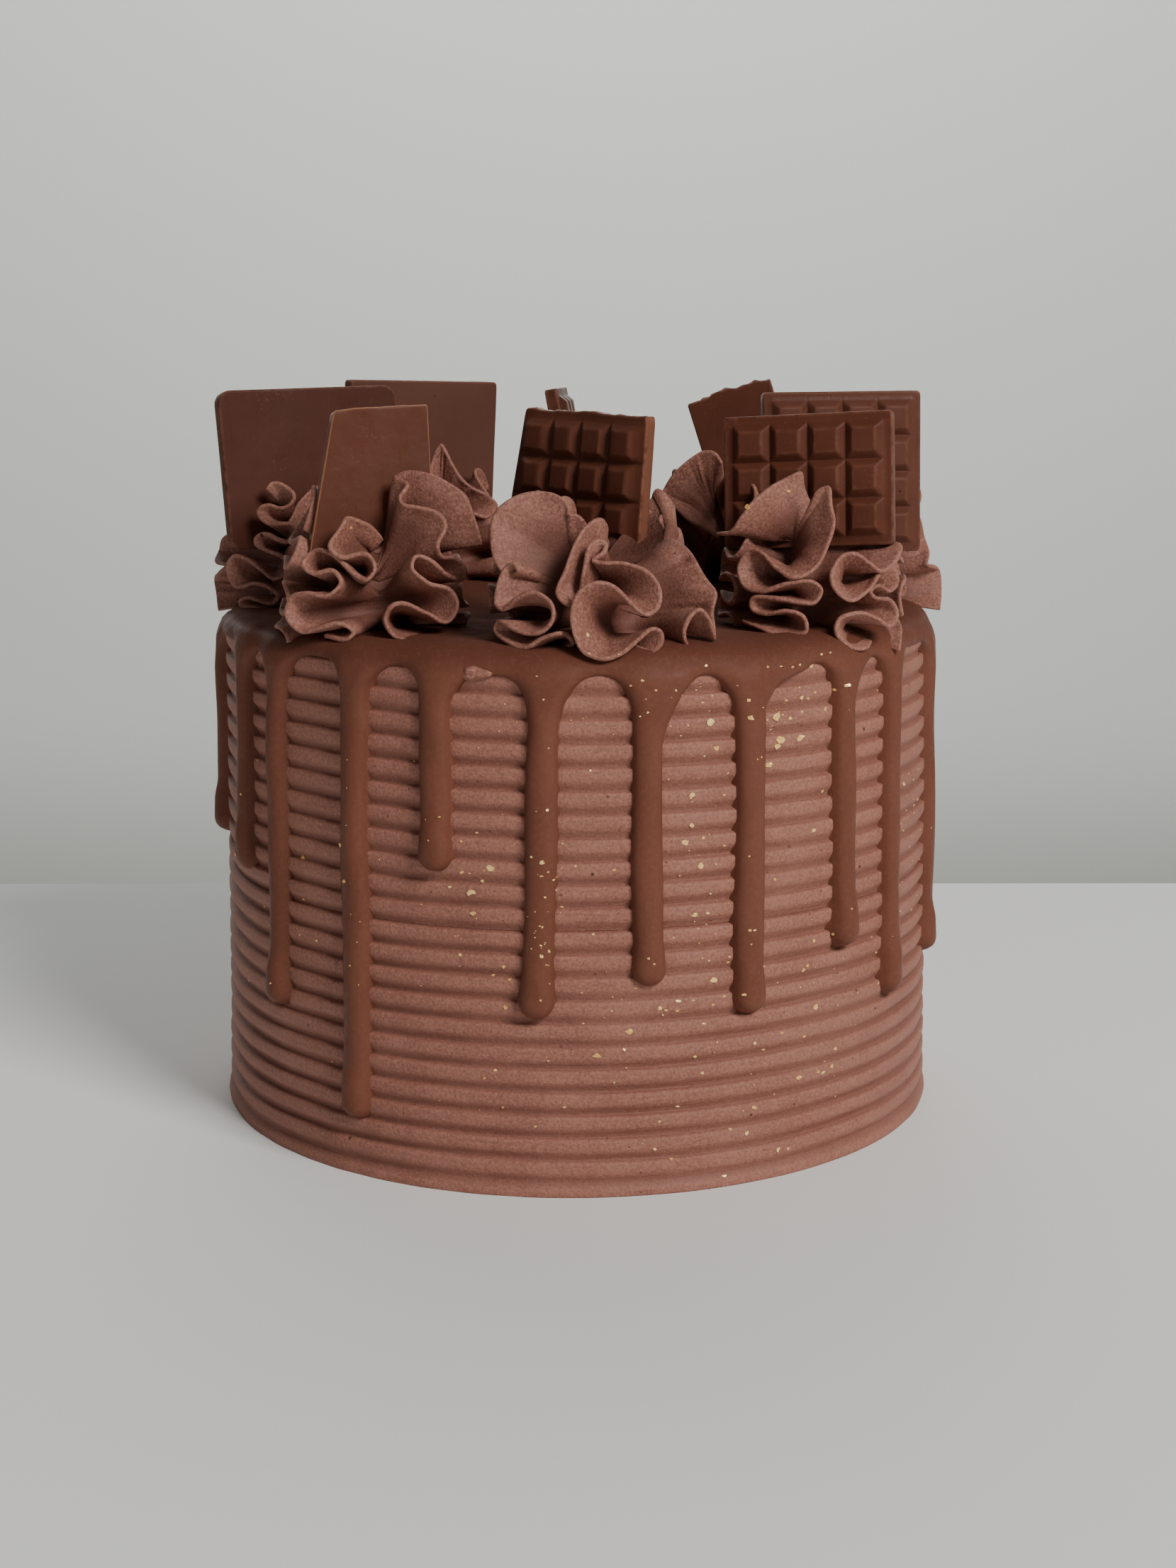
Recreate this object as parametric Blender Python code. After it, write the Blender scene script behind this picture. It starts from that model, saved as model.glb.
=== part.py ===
"""A round buttercream cake, 160 mm across its base, in metres with +Z up.

The origin is the middle of the flat base. Angles go round the cake from the front (-Y) towards +X.
The body has comb ridges, a ganache cap with drips coats it, and eight ruffled rosettes round the
rim each hold a piece of moulded chocolate bar.
"""

import math

import bmesh
import bpy
import numpy as np
from mathutils import Matrix, Vector

MM = 0.001

# Body of the cake
BASE_RADIUS = 80 * MM
TAPER = 0.018
BODY_TOP = 107 * MM
SEGMENTS = 38
COMB_PITCH = 4.723 * MM
COMB_DEPTH = 0.95 * MM
COMB_TOP_GROOVE = 106.6 * MM
COMB_GROOVES = 23
COMB_DRIFT = 0.15 * MM
RIDGE_FLAT = (0.24, 0.76)
BASE_FLARE = 0.4 * MM

# Ganache coat
GAP = 0.3 * MM
GANACHE_TOP = 111 * MM
COAT = 2.6 * MM
HEM_HEIGHT = 104.8 * MM
DRIP_HALF_WIDTH = 3.15 * MM
DRIP_FLARE = 5.6 * MM
DRIP_BULB = 3.5 * MM

# Rosettes
RIBBON = 1.8 * MM
RIBBON_SHARE = 0.21
BEND_SHARE = 0.23
VALLEY_SHARE = 0.36
ROSETTE_FOOT = GANACHE_TOP + GAP
ROSETTE_CORE_HEIGHT = 17 * MM
SHAPED_LOOPS = 5
PLAIN_LOOPS = 4

# Chocolate bars
SQUARE = 7.85 * MM
RIM = 1.9 * MM
PLATE = 3.0 * MM
RELIEF = 1.5 * MM
BEVEL = 1.6 * MM
ROUND_CORNER = 1.0 * MM
CORNER_STEPS = 3

# Gold leaf flecks
FLECK_SIDES = 6
FLECK_SINK = 0.55 * MM
FLECK_STAND = 0.4 * MM

BUTTERCREAM = ("buttercream", (0.350, 0.160, 0.115, 1), 0.62)
GANACHE = ("milk_ganache", (0.165, 0.062, 0.037, 1), 0.30)
BAR = ("milk_chocolate_bar", (0.085, 0.028, 0.016, 1), 0.34)

# Where each drip runs down (degrees) and the height of its tip (mm)
DRIPS = (
    (-84.0, 60), (-61.6, 58), (-51.0, 31.5), (-33.9, 12), (-20.2, 66), (-4.8, 37), (10.7, 43.5),
    (26.7, 36), (44.4, 46), (57.2, 32), (78.5, 34), (92.5, 57), (107.0, 42), (124.0, 25),
    (139.5, 62), (155.0, 38), (172.5, 50), (189.0, 22), (204.0, 57), (221.0, 40), (236.5, 70),
    (252.0, 33), (264.5, 84),
)

# The larger gold flecks on the comb ridges: round the cake (degrees), ridge from the top, size (mm)
FLECKS = (
    (31.2, 1, 1.9), (35.6, 2, 1.8), (32.0, 2, 1.9), (29.9, 3, 1.8), (20.3, 1, 1.6), (17.4, 4, 1.5),
    (16.4, 6, 1.6), (20.8, 12, 1.6), (3.4, 15, 1.7), (8.0, 14, 1.4), (39.0, 14, 1.4), (35.5, 17, 1.5),
    (-11.8, 7, 1.5), (-14.5, 9, 1.4), (98.0, 13, 1.4), (196.0, 6, 1.4),
)

# One ruffle is the way its outer lip winds up: lateral and height (mm) of each turn from foot to tip
FRONT_LEFT_RUFFLES = {
    -16: ((4, 0.6), (-9.5, 4.8), (2, 11.0), (-7, 14.8), (7, 18.0), (-3, 22.0), (3, 27.0)),
    37: ((6, 0.6), (-7, 4.4), (7, 8.6), (-3, 14.6), (6, 19.0), (-5, 27.0), (-4, 32.5)),
}
FRONT_RUFFLES = {
    -41: ((7, 0.8), (-6.5, 4.8), (5, 9.0), (-7, 12.8), (4, 17.0), (-8, 23.0), (1, 31.0)),
    8: ((8.5, 0.9), (-9, 6.6), (8.5, 12.5), (-4.5, 18.6), (0, 21.4), (-5, 24.2), (-3, 28.0)),
    63: ((-4, 0.6), (3, 3.8), (-4.5, 7.4), (6, 11.0), (-1, 16.0), (4, 22.0), (0, 30.0)),
}
FRONT_RIGHT_RUFFLES = {
    -22: ((-8, 0.7), (5, 3.6), (-6.5, 7.0), (7.5, 9.9), (-8.5, 14.5), (9, 21.0), (7.5, 31.0)),
    29: ((5, 0.6), (-5, 3.4), (6.4, 6.6), (-1, 9.8), (6, 12.4), (-5.4, 15.6), (6, 20.5)),
}

# Each rosette: angle round the cake, distance out (mm), reach (mm), angles and shapes of its ruffles
ROSETTES = (
    ("rosette_front", 6, 56.6, 21.8, FRONT_RUFFLES, (-100, 126, 194)),
    ("rosette_front_right", 52.2, 62.4, 18.8, FRONT_RIGHT_RUFFLES, (-86, 86, 144, 206)),
    ("rosette_right", 98, 60.0, 19.5, {}, (10, 68, 128, 190, 250, 310)),
    ("rosette_back_right", 139, 55.0, 18.6, {}, (-8, 52, 112, 170, 232, 292)),
    ("rosette_back", 180, 55.5, 17.4, {}, (0, 62, 118, 180, 240, 302)),
    ("rosette_back_left", 221, 55.0, 18.6, {}, (22, 84, 142, 204, 262, 320)),
    ("rosette_left", 262, 60.0, 19.5, {}, (-20, 40, 102, 160, 222, 280)),
    ("rosette_front_left", -44.0, 59.6, 18.8, FRONT_LEFT_RUFFLES, (-78, 98, 160, 222)),
)

# Each bar piece: squares across and up, place of its middle (mm), turn, lean back and tilt (degrees),
# whether its squares face outwards, and the outline where it is snapped: widths of foot and head,
# height, and how far the head's middle stands to the right of the foot's (mm)
BARS = (
    ("bar_front", 4, 3, (1.2, -38.0, 140.9), (-41, 6, -1.6), True, (37.2, 33.5, 27.35, 1.05)),
    ("bar_front_right", 4, 3, (48.3, -41.0, 140.6), (-16, 9, 3.3), True, None),
    ("bar_right", 4, 4, (58.8, -5.0, 140.0), (6, 4, 0.4), True, None),
    ("bar_back_right", 2, 4, (41.0, 36.0, 140.6), (-4, 3, 18), False, (20.4, 20.4, 33.6, 0)),
    ("bar_back", 3, 4, (-1.6, 54.0, 139.4), (86, 10, -1), True, None),
    ("bar_back_left", 5, 4, (-38.0, 39.0, 141.4), (41, -2, -1.8), False, None),
    ("bar_left", 5, 4, (-60.0, 8.0, 140.5), (30, 8, 0.8), False, None),
    ("bar_front_left", 2, 3, (-41.0, -41.5, 141.0), (20, 10, 3), False, (26.5, 20.0, 29.0, 5.3)),
)
BAR_LEFT_CORNER = 3.0 * MM

# A bar piece whose end also reaches into the next rosette
NEIGHBOUR_OF_BAR = {"bar_back_left": "rosette_left"}


def clear_scene():
    """Empties the file of every object."""
    for old in list(bpy.data.objects):
        bpy.data.objects.remove(old, do_unlink=True)


def material(look):
    """The Principled material of this name, made once."""
    name, colour, roughness = look
    made = bpy.data.materials.get(name)
    if made is None:
        made = bpy.data.materials.new(name)
        made.use_nodes = True
        shader = made.node_tree.nodes["Principled BSDF"]
        shader.inputs["Base Color"].default_value = colour
        shader.inputs["Roughness"].default_value = roughness
        shader.inputs["Metallic"].default_value = 0
    return made


def add_object(name, mesh, look=None):
    """Links a mesh to the scene as an object of this name."""
    obj = bpy.data.objects.new(name, mesh)
    bpy.context.scene.collection.objects.link(obj)
    if look:
        mesh.materials.append(material(look))
    return obj


def outward(angle):
    """Level unit vector at an angle (degrees) from the front towards +X."""
    turn = math.radians(angle)
    return Vector((math.sin(turn), -math.cos(turn), 0))


def sideways(angle):
    """Level unit vector to the right of outward(angle), as seen from outside."""
    turn = math.radians(angle)
    return Vector((math.cos(turn), math.sin(turn), 0))


def crest_radius(height):
    """Radius of the comb ridges at this height."""
    return BASE_RADIUS - TAPER * height


def ring_mesh(name, rings, first, last):
    """Closed mesh through rings of points, counterclockwise from above, between two end points.

    Args: name of the mesh, rings as an array (ring, column, xyz), and the two end points.
    """
    count, columns = rings.shape[:2]
    points = np.concatenate([rings.reshape(-1, 3), [first, last]])
    column = np.arange(columns)
    following = (column + 1) % columns
    quads = [
        np.stack([i * columns + column, i * columns + following,
                  (i + 1) * columns + following, (i + 1) * columns + column], axis=1)
        for i in range(count - 1)
    ]
    start, end = len(points) - 2, len(points) - 1
    top = (count - 1) * columns
    faces = [tuple(map(int, quad)) for quad in np.concatenate(quads)]
    faces += [(start, int(b), int(a)) for a, b in zip(column, following)]
    faces += [(end, int(top + a), int(top + b)) for a, b in zip(column, following)]
    mesh = bpy.data.meshes.new(name)
    mesh.from_pydata([tuple(map(float, point)) for point in points], [], faces)
    return mesh


def turned_rings(profile, segments, drift=None):
    """Rings of a turned profile of (radius, height), whose heights may drift round the ring."""
    angle = np.arange(segments) * 2 * math.pi / segments
    rings = []
    for i, (radius, height) in enumerate(profile):
        lift = np.zeros(segments) if drift is None else drift(i, angle)
        rings.append(np.stack([radius * np.sin(angle), -radius * np.cos(angle), height + lift], axis=1))
    return np.array(rings)


def body_profile():
    """(radius, height) up the side: a flat foot, then a groove and a broad ridge for each comb tooth."""
    profile = [(crest_radius(0) - COMB_DEPTH, 0.0)]
    lowest = COMB_TOP_GROOVE - (COMB_GROOVES - 1) * COMB_PITCH
    profile.append((crest_radius(0) + BASE_FLARE, RIDGE_FLAT[0] * lowest))
    profile.append((crest_radius(0) + BASE_FLARE, RIDGE_FLAT[1] * lowest))
    for i in range(COMB_GROOVES - 1):
        groove = lowest + i * COMB_PITCH
        profile.append((crest_radius(groove) - COMB_DEPTH, groove))
        for share in RIDGE_FLAT:
            height = groove + share * COMB_PITCH
            profile.append((crest_radius(height), height))
    profile.append((crest_radius(BODY_TOP) - COMB_DEPTH, BODY_TOP))
    return profile


def make_cake():
    """The combed body, with the larger gold flecks fused on."""
    profile = body_profile()

    def drift(i, angle):
        if i == 0 or i == len(profile) - 1:
            return np.zeros_like(angle)
        tooth = (i + 2) // 3
        return COMB_DRIFT * np.sin(2 * angle + 1.7 * tooth) * min(1, tooth / 2)

    rings = turned_rings(profile, SEGMENTS, drift)
    mesh = ring_mesh("cake", rings, (0, 0, 0), (0, 0, BODY_TOP))
    cake = add_object("cake", mesh, BUTTERCREAM)
    flecks = [fleck_object(i, *fleck) for i, fleck in enumerate(FLECKS)]
    fuse(cake, flecks)
    return cake


def fleck_object(index, angle, ridge, size):
    """A low irregular chip lying on a comb ridge, ridge 0 being the one under the top groove."""
    height = COMB_TOP_GROOVE - (ridge + 1.5) * COMB_PITCH
    middle = outward(angle) * crest_radius(height) + Vector((0, 0, height))
    sheet = bmesh.new()
    low, high = [], []
    for i in range(FLECK_SIDES):
        turn = 2 * math.pi * i / FLECK_SIDES + index
        reach = size * MM / 2 * (0.85 + 0.3 * math.sin(2.3 * i + 1.9 * index))
        across = sideways(angle) * (reach * math.cos(turn)) + Vector((0, 0, reach * math.sin(turn) * 0.9))
        low.append(sheet.verts.new(middle + across - outward(angle) * FLECK_SINK))
        high.append(sheet.verts.new(middle + across * 0.8 + outward(angle) * FLECK_STAND))
    sheet.faces.new(high)
    sheet.faces.new(low[::-1])
    for i in range(FLECK_SIDES):
        j = (i + 1) % FLECK_SIDES
        sheet.faces.new((low[i], low[j], high[j], high[i]))
    return mesh_object(f"fleck_{index}", sheet)


def mesh_object(name, sheet, look=None):
    """An object from a closed bmesh, its faces made to point out."""
    bmesh.ops.recalc_face_normals(sheet, faces=sheet.faces)
    if sheet.calc_volume(signed=True) < 0:
        bmesh.ops.reverse_faces(sheet, faces=sheet.faces)
    mesh = bpy.data.meshes.new(name)
    sheet.to_mesh(mesh)
    sheet.free()
    return add_object(name, mesh, look)


def fuse(obj, extras):
    """Joins the extra objects to obj by one Boolean union on a collection, then removes them."""
    group = bpy.data.collections.new(f"{obj.name}_extras")
    bpy.context.scene.collection.children.link(group)
    for extra in extras:
        bpy.context.scene.collection.objects.unlink(extra)
        group.objects.link(extra)
    union = obj.modifiers.new("fuse", "BOOLEAN")
    union.operation = "UNION"
    union.operand_type = "COLLECTION"
    union.collection = group
    apply_modifiers(obj)
    for extra in extras:
        bpy.data.objects.remove(extra, do_unlink=True)
    bpy.data.collections.remove(group)


def apply_modifiers(obj):
    """Turns the evaluated mesh of obj into its own, and drops loose scraps but for the largest piece."""
    graph = bpy.context.evaluated_depsgraph_get()
    done = bpy.data.meshes.new_from_object(obj.evaluated_get(graph))
    obj.modifiers.clear()
    obj.data = done
    keep_largest_piece(done)


def keep_largest_piece(mesh):
    """Deletes every connected piece of the mesh except the one with the most faces."""
    sheet = bmesh.new()
    sheet.from_mesh(mesh)
    unseen = set(sheet.faces)
    pieces = []
    while unseen:
        piece, front = set(), [unseen.pop()]
        while front:
            face = front.pop()
            piece.add(face)
            for other in (near for edge in face.edges for near in edge.link_faces):
                if other in unseen:
                    unseen.discard(other)
                    front.append(other)
        pieces.append(piece)
    pieces.sort(key=len)
    bmesh.ops.delete(sheet, geom=[face for piece in pieces[:-1] for face in piece], context="FACES")
    sheet.to_mesh(mesh)
    sheet.free()


def make_ganache():
    """The cap over the top and shoulder, with a half-round drip fused on at each place in DRIPS."""
    inner = crest_radius(HEM_HEIGHT) + GAP
    outer = crest_radius(HEM_HEIGHT) + COAT
    ceiling = BODY_TOP + GAP
    profile = [
        (inner, ceiling), (inner, HEM_HEIGHT), (outer - 0.5 * MM, HEM_HEIGHT + 0.5 * MM),
        (outer, HEM_HEIGHT + 2.0 * MM), (outer - 1.9 * MM, GANACHE_TOP - 1.6 * MM),
        (outer - 5.6 * MM, GANACHE_TOP - 0.3 * MM), (outer - 13 * MM, GANACHE_TOP),
    ]
    rings = turned_rings(profile, SEGMENTS)
    mesh = ring_mesh("ganache", rings, (0, 0, ceiling), (0, 0, GANACHE_TOP))
    cap = add_object("ganache", mesh, GANACHE)
    fuse(cap, [drip_object(i, angle, tip * MM) for i, (angle, tip) in enumerate(DRIPS)])
    return cap


def drip_object(index, angle, tip):
    """A drip: half-round sections from a flare under the cap down to a fuller rounded end."""
    sections = (
        (HEM_HEIGHT + 2.2 * MM, DRIP_FLARE, COAT - 0.5 * MM),
        (HEM_HEIGHT - 1.2 * MM, DRIP_FLARE - 1.3 * MM, COAT),
        (HEM_HEIGHT - 6.0 * MM, DRIP_HALF_WIDTH, COAT + 0.2 * MM),
        (tip + 3.6 * MM, DRIP_BULB, COAT + 0.7 * MM),
        (tip + 0.8 * MM, 0.66 * DRIP_BULB, 0.8 * COAT),
    )
    side, out = sideways(angle), outward(angle)
    sheet = bmesh.new()
    rows = []
    for height, half, stand in sections:
        back = crest_radius(height) + GAP
        row = []
        for step in range(5):
            turn = math.pi * step / 4
            level = out * (back + stand * math.sin(turn)) - side * (half * math.cos(turn))
            row.append(sheet.verts.new(level + Vector((0, 0, height))))
        rows.append(row)
    for upper, lower in zip(rows, rows[1:]):
        for i in range(5):
            j = (i + 1) % 5
            sheet.faces.new((upper[i], lower[i], lower[j], upper[j]))
    end = sheet.verts.new(out * (crest_radius(tip) + GAP + 0.4 * MM) + Vector((0, 0, tip)))
    for i in range(5):
        sheet.faces.new((rows[-1][i], end, rows[-1][(i + 1) % 5]))
    sheet.faces.new(rows[0])
    return mesh_object(f"drip_{index}", sheet)


def plain_ruffle(seed, loops):
    """Turns of a ruffle whose folds swing to and fro and open towards the tip."""
    draw = np.random.default_rng(seed)
    side = 1 if draw.random() < 0.5 else -1
    turns = [(5.0 * side, 0.7)]
    height = 0.6
    for i in range(loops):
        height += (draw.uniform(13, 19) + 2.4 * i) / loops
        side = -side
        turns.append((side * draw.uniform(5.0, 7.6), height))
    turns.append((-side * draw.uniform(0.0, 3.5), height + draw.uniform(4.0, 7.5)))
    return tuple(turns)


def lip_edges(turns):
    """Both edges of the lip as (lateral, height) rows, in metres.

    The rows are the lip's foot, the two bends of each fold and its tip. Tighter folds are thinner,
    and the lowest pass is a tongue that lies on the ganache.
    """
    path, half_widths = [turns[0]], []
    for before, turn, after in zip(turns, turns[1:], turns[2:]):
        pitch = min(turn[1] - before[1], after[1] - turn[1])
        path += [(turn[0], turn[1] - BEND_SHARE * pitch), (turn[0], turn[1] + BEND_SHARE * pitch)]
        half_widths += 2 * [min(RIBBON / 2 / MM, RIBBON_SHARE * pitch)]
    path = np.array(path + [turns[-1]])
    half_widths = np.array(half_widths[:1] + half_widths + half_widths[-1:])[:, None]
    along = np.gradient(path, axis=0)
    along /= np.linalg.norm(along, axis=1, keepdims=True)
    outward_left = np.stack([-along[:, 1], along[:, 0]], axis=1) * half_widths
    left, right = path + outward_left, path - outward_left
    lower = left if turns[1][0] < turns[0][0] else right
    lower[:2, 1] = 0
    return left * MM, right * MM


def mound_reach(height, reach):
    """How far out a lip stands at each height: full at the foot, drawn in towards the tip."""
    share = np.clip((height - 8 * MM) / (26 * MM), 0, 1)
    return reach * (1 - 0.42 * share * share * (3 - 2 * share))


def make_rosette(name, angle, distance, reach, shaped, plain_angles):
    """A ruffled rosette: every ruffle's lip winds up the mound, and a valley runs between ruffles."""
    seed = sum(map(ord, name))
    loops = SHAPED_LOOPS if shaped else PLAIN_LOOPS
    ruffles = {turn % 360: shape for turn, shape in shaped.items()}
    for i, turn in enumerate(plain_angles):
        ruffles[turn % 360] = plain_ruffle(seed + i, loops)
    turns = sorted(ruffles)
    columns = []
    for turn, following in zip(turns, turns[1:] + [turns[0] + 360]):
        edges = lip_edges(ruffles[turn])
        rows = len(edges[0])
        for edge in edges:
            height = np.maximum(edge[:, 1], 0.0)
            columns.append(round_mound(turn + np.degrees(edge[:, 0] / (reach * MM)),
                                       mound_reach(height, reach * MM), height))
        valley_height = np.linspace(0, 1, rows) * ROSETTE_CORE_HEIGHT
        middle = np.full(rows, (turn + following) / 2)
        columns.append(round_mound(middle, np.full(rows, VALLEY_SHARE * reach * MM), valley_height))
    rings = np.array(columns).transpose(1, 0, 2)
    centre = outward(angle) * distance * MM + Vector((0, 0, ROSETTE_FOOT))
    top = (0, 0, ROSETTE_CORE_HEIGHT + 1.5 * MM)
    mesh = ring_mesh(name, rings, (0, 0, 0), top)
    mesh.transform(Matrix.Translation(centre))
    sheet = bmesh.new()
    sheet.from_mesh(mesh)
    bmesh.ops.triangulate(sheet, faces=sheet.faces)
    return mesh_object(name, sheet, BUTTERCREAM)


def round_mound(angle, radius, height):
    """Points at angles (degrees) from the front, radii and heights round a rosette's own axis."""
    turn = np.radians(angle)
    return np.stack([radius * np.sin(turn), -radius * np.cos(turn), height], axis=1)


def bar_placing(place, turns):
    """Matrix of a bar: its width along X, its height along Y, its squares on the +Z face."""
    turn, lean, tilt = (math.radians(value) for value in turns)
    standing = Matrix.Rotation(math.pi / 2, 4, "X")
    leaned = Matrix.Rotation(-lean, 4, "X") @ standing
    return Matrix.Translation(Vector(place) * MM) @ Matrix.Rotation(turn, 4, "Z") @ leaned @ Matrix.Rotation(
        tilt, 4, "Z")


def bar_corners(across, up, squares_out, snapped):
    """The outline's four corners before rounding: foot right, head right, head left, foot left."""
    if snapped:
        foot, head, tall, shift = (value * MM / 2 for value in snapped)
        shift = shift if squares_out else -shift
    else:
        foot = head = across * SQUARE / 2 + RIM
        tall, shift = up * SQUARE / 2 + RIM, 0
    return (foot - shift, -tall), (head + shift, tall), (-head + shift, tall), (-foot - shift, -tall)


def bar_outline(corners, radius):
    """Outline of the piece, counterclockwise, with rounded corners."""
    inwards = ((-1, 1), (-1, -1), (1, -1), (1, 1))
    outline = []
    for (x, y), (in_x, in_y), start in zip(corners, inwards, (-90, 0, 90, 180)):
        middle = Vector((x + in_x * radius, y + in_y * radius))
        for step in range(CORNER_STEPS):
            turn = math.radians(start + 90 * step / (CORNER_STEPS - 1))
            outline.append(middle + Vector((math.cos(turn), math.sin(turn))) * radius)
    return outline


def make_bar(name, across, up, place, turns, squares_out, snapped):
    """A moulded bar piece: a plate with bevelled squares on one face and a plain back."""
    radius = BAR_LEFT_CORNER if name == "bar_left" else ROUND_CORNER
    sheet = bmesh.new()
    outline = bar_outline(bar_corners(across, up, squares_out, snapped), radius)
    rim = [sheet.verts.new((x, y, PLATE)) for x, y in outline]
    back = [sheet.verts.new((x, y, 0)) for x, y in outline]
    for i, corner in enumerate(rim):
        j = (i + 1) % len(rim)
        sheet.faces.new((back[i], back[j], rim[j], corner))
    sheet.faces.new(back[::-1])
    grid = {
        (i, j): sheet.verts.new(((i - across / 2) * SQUARE, (j - up / 2) * SQUARE, PLATE))
        for i in range(across + 1) for j in range(up + 1)
    }
    for i in range(across):
        for j in range(up):
            add_square(sheet, [grid[i, j], grid[i + 1, j], grid[i + 1, j + 1], grid[i, j + 1]])
    open_edges = [edge for edge in sheet.edges if len(edge.link_faces) == 1]
    bmesh.ops.triangle_fill(sheet, edges=open_edges, use_beauty=True)
    middle = Matrix.Translation((0, 0, -(PLATE + RELIEF) / 2))
    facing = Matrix.Identity(4) if squares_out else Matrix.Rotation(math.pi, 4, "Y")
    placing = bar_placing(place, turns) @ facing @ middle
    sheet.transform(placing)
    return mesh_object(name, sheet, BAR), placing


def add_square(sheet, corners):
    """One raised square: four bevels from the groove corners up to its flat top."""
    centre = sum((corner.co for corner in corners), Vector()) / 4
    share = 1 - 2 * BEVEL / SQUARE
    tops = [
        sheet.verts.new(centre + (corner.co - centre) * share + Vector((0, 0, RELIEF))) for corner in corners
    ]
    sheet.faces.new(tops)
    for i in range(4):
        j = (i + 1) % 4
        sheet.faces.new((corners[i], corners[j], tops[j], tops[i]))


def cut_slot(rosette, bar, corners, placing):
    """Cuts the space of the bar, a gap wider all round, out of the rosette that holds it."""
    left = min(x for x, y in corners) - GAP
    right = max(x for x, y in corners) + GAP
    tall = corners[1][1] + GAP
    sheet = bmesh.new()
    bmesh.ops.create_cube(sheet, size=2)
    thick = (PLATE + RELIEF) / 2 + GAP
    sheet.transform(Matrix.Diagonal(((right - left) / 2, 2 * tall, thick, 1)))
    sheet.transform(Matrix.Translation(((right + left) / 2, tall, (PLATE + RELIEF) / 2)))
    sheet.transform(placing)
    cutter = mesh_object(f"{bar.name}_slot", sheet)
    slot = rosette.modifiers.new("slot", "BOOLEAN")
    slot.operation = "DIFFERENCE"
    slot.object = cutter
    apply_modifiers(rosette)
    bpy.data.objects.remove(cutter, do_unlink=True)


def main():
    clear_scene()
    make_cake()
    make_ganache()
    rosettes = {row[0]: make_rosette(*row) for row in ROSETTES}
    for name, across, up, place, turns, squares_out, snapped in BARS:
        bar, placing = make_bar(name, across, up, place, turns, squares_out, snapped)
        corners = bar_corners(across, up, squares_out, snapped)
        cut_slot(rosettes[name.replace("bar", "rosette")], bar, corners, placing)
        if name in NEIGHBOUR_OF_BAR:
            cut_slot(rosettes[NEIGHBOUR_OF_BAR[name]], bar, corners, placing)


main()
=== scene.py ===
"""Dresses the combed cake: buttercream, ganache drips, ruffled rosettes, moulded bars and gold leaf.

Lengths are metres unless a docstring says millimetres. Angles are degrees, counted round the cake
from the front (-Y) towards +X.
"""

import logging
import math
from dataclasses import dataclass
from enum import Enum

import bpy
import numpy as np
from mathutils import Matrix, Vector


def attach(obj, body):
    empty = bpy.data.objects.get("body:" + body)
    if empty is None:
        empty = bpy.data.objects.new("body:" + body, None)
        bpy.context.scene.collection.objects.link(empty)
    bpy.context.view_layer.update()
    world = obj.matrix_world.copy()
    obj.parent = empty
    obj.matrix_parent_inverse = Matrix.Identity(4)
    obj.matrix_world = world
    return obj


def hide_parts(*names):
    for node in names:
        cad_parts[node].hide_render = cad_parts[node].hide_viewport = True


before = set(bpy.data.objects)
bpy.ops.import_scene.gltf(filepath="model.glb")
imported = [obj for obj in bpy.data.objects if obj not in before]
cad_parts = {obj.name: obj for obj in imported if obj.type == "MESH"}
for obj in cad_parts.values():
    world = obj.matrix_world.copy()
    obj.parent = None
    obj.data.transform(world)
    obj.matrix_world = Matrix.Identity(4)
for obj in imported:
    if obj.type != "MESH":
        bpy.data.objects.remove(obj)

logging.basicConfig(level=logging.INFO, format="%(name)s: %(message)s")
LOG = logging.getLogger("cake")

MM = 0.001
BODY = "root"
UP = np.array([0.0, 0.0, 1.0])
TURNAROUND = 2 * math.pi

Array = np.ndarray
Piece = bpy.types.Object
Socket = bpy.types.NodeSocket
Material = bpy.types.Material
Colour = tuple[float, float, float, float]
Triple = tuple[float, float, float]
Pair = tuple[float, float]
Pairs = tuple[Pair, ...]


def smooth(share: Array | float) -> Array:
    """Cubic ease from 0 to 1: three share squared minus two share cubed, clamped outside."""
    held = np.clip(share, 0.0, 1.0)
    return held * held * (3 - 2 * held)


def rising(value: Array | float, start: float, width: float) -> Array:
    """Eases from 0 where the value is start to 1 where it is a width more."""
    return smooth((value - start) / width)


def wrapped(turn: Array | float) -> Array | float:
    """The same turn counted from -180 to 180."""
    return (turn + 180) % 360 - 180


def unit(vectors: Array) -> Array:
    """The vectors of the last axis scaled to a length of one."""
    return vectors / (np.linalg.norm(vectors, axis=-1, keepdims=True) + 1e-12)


def through_knots(value: Array, knots: Pairs) -> Array:
    """Straight interpolation of a value in metres through knots in millimetres."""
    given, wanted = np.array(knots).T * MM
    return np.interp(value, given, wanted)


def waves(points: Array, size: float, seed: int, count: int = 9) -> Array:
    """Smooth random field in space: a mean of sine waves in seeded random directions.

    Args:
        points: array (..., 3) of places.
        size: typical width of a bump, in metres.
        seed: picks the directions and phases.
        count: number of waves.

    Returns:
        Values from about -1 to 1, one for each point.
    """
    draw = np.random.default_rng(seed)
    headings = unit(draw.normal(size=(count, 3)))
    rates = math.pi / size * draw.uniform(0.6, 1.5, count)
    phases = draw.uniform(0, TURNAROUND, count)
    total = np.zeros(points.shape[:-1])
    for heading, rate, phase in zip(headings, rates, phases):
        total += np.sin(points @ heading * rate + phase)
    return total / math.sqrt(count) * 0.9


@dataclass(frozen=True)
class Ripple:
    """Smooth random unevenness: how high and how wide it is, and the seed that picks it."""

    height: float
    width: float
    seed: int

    def over(self, points: Array) -> Array:
        """The unevenness at each point."""
        return self.height * waves(points, self.width, self.seed)


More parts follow.
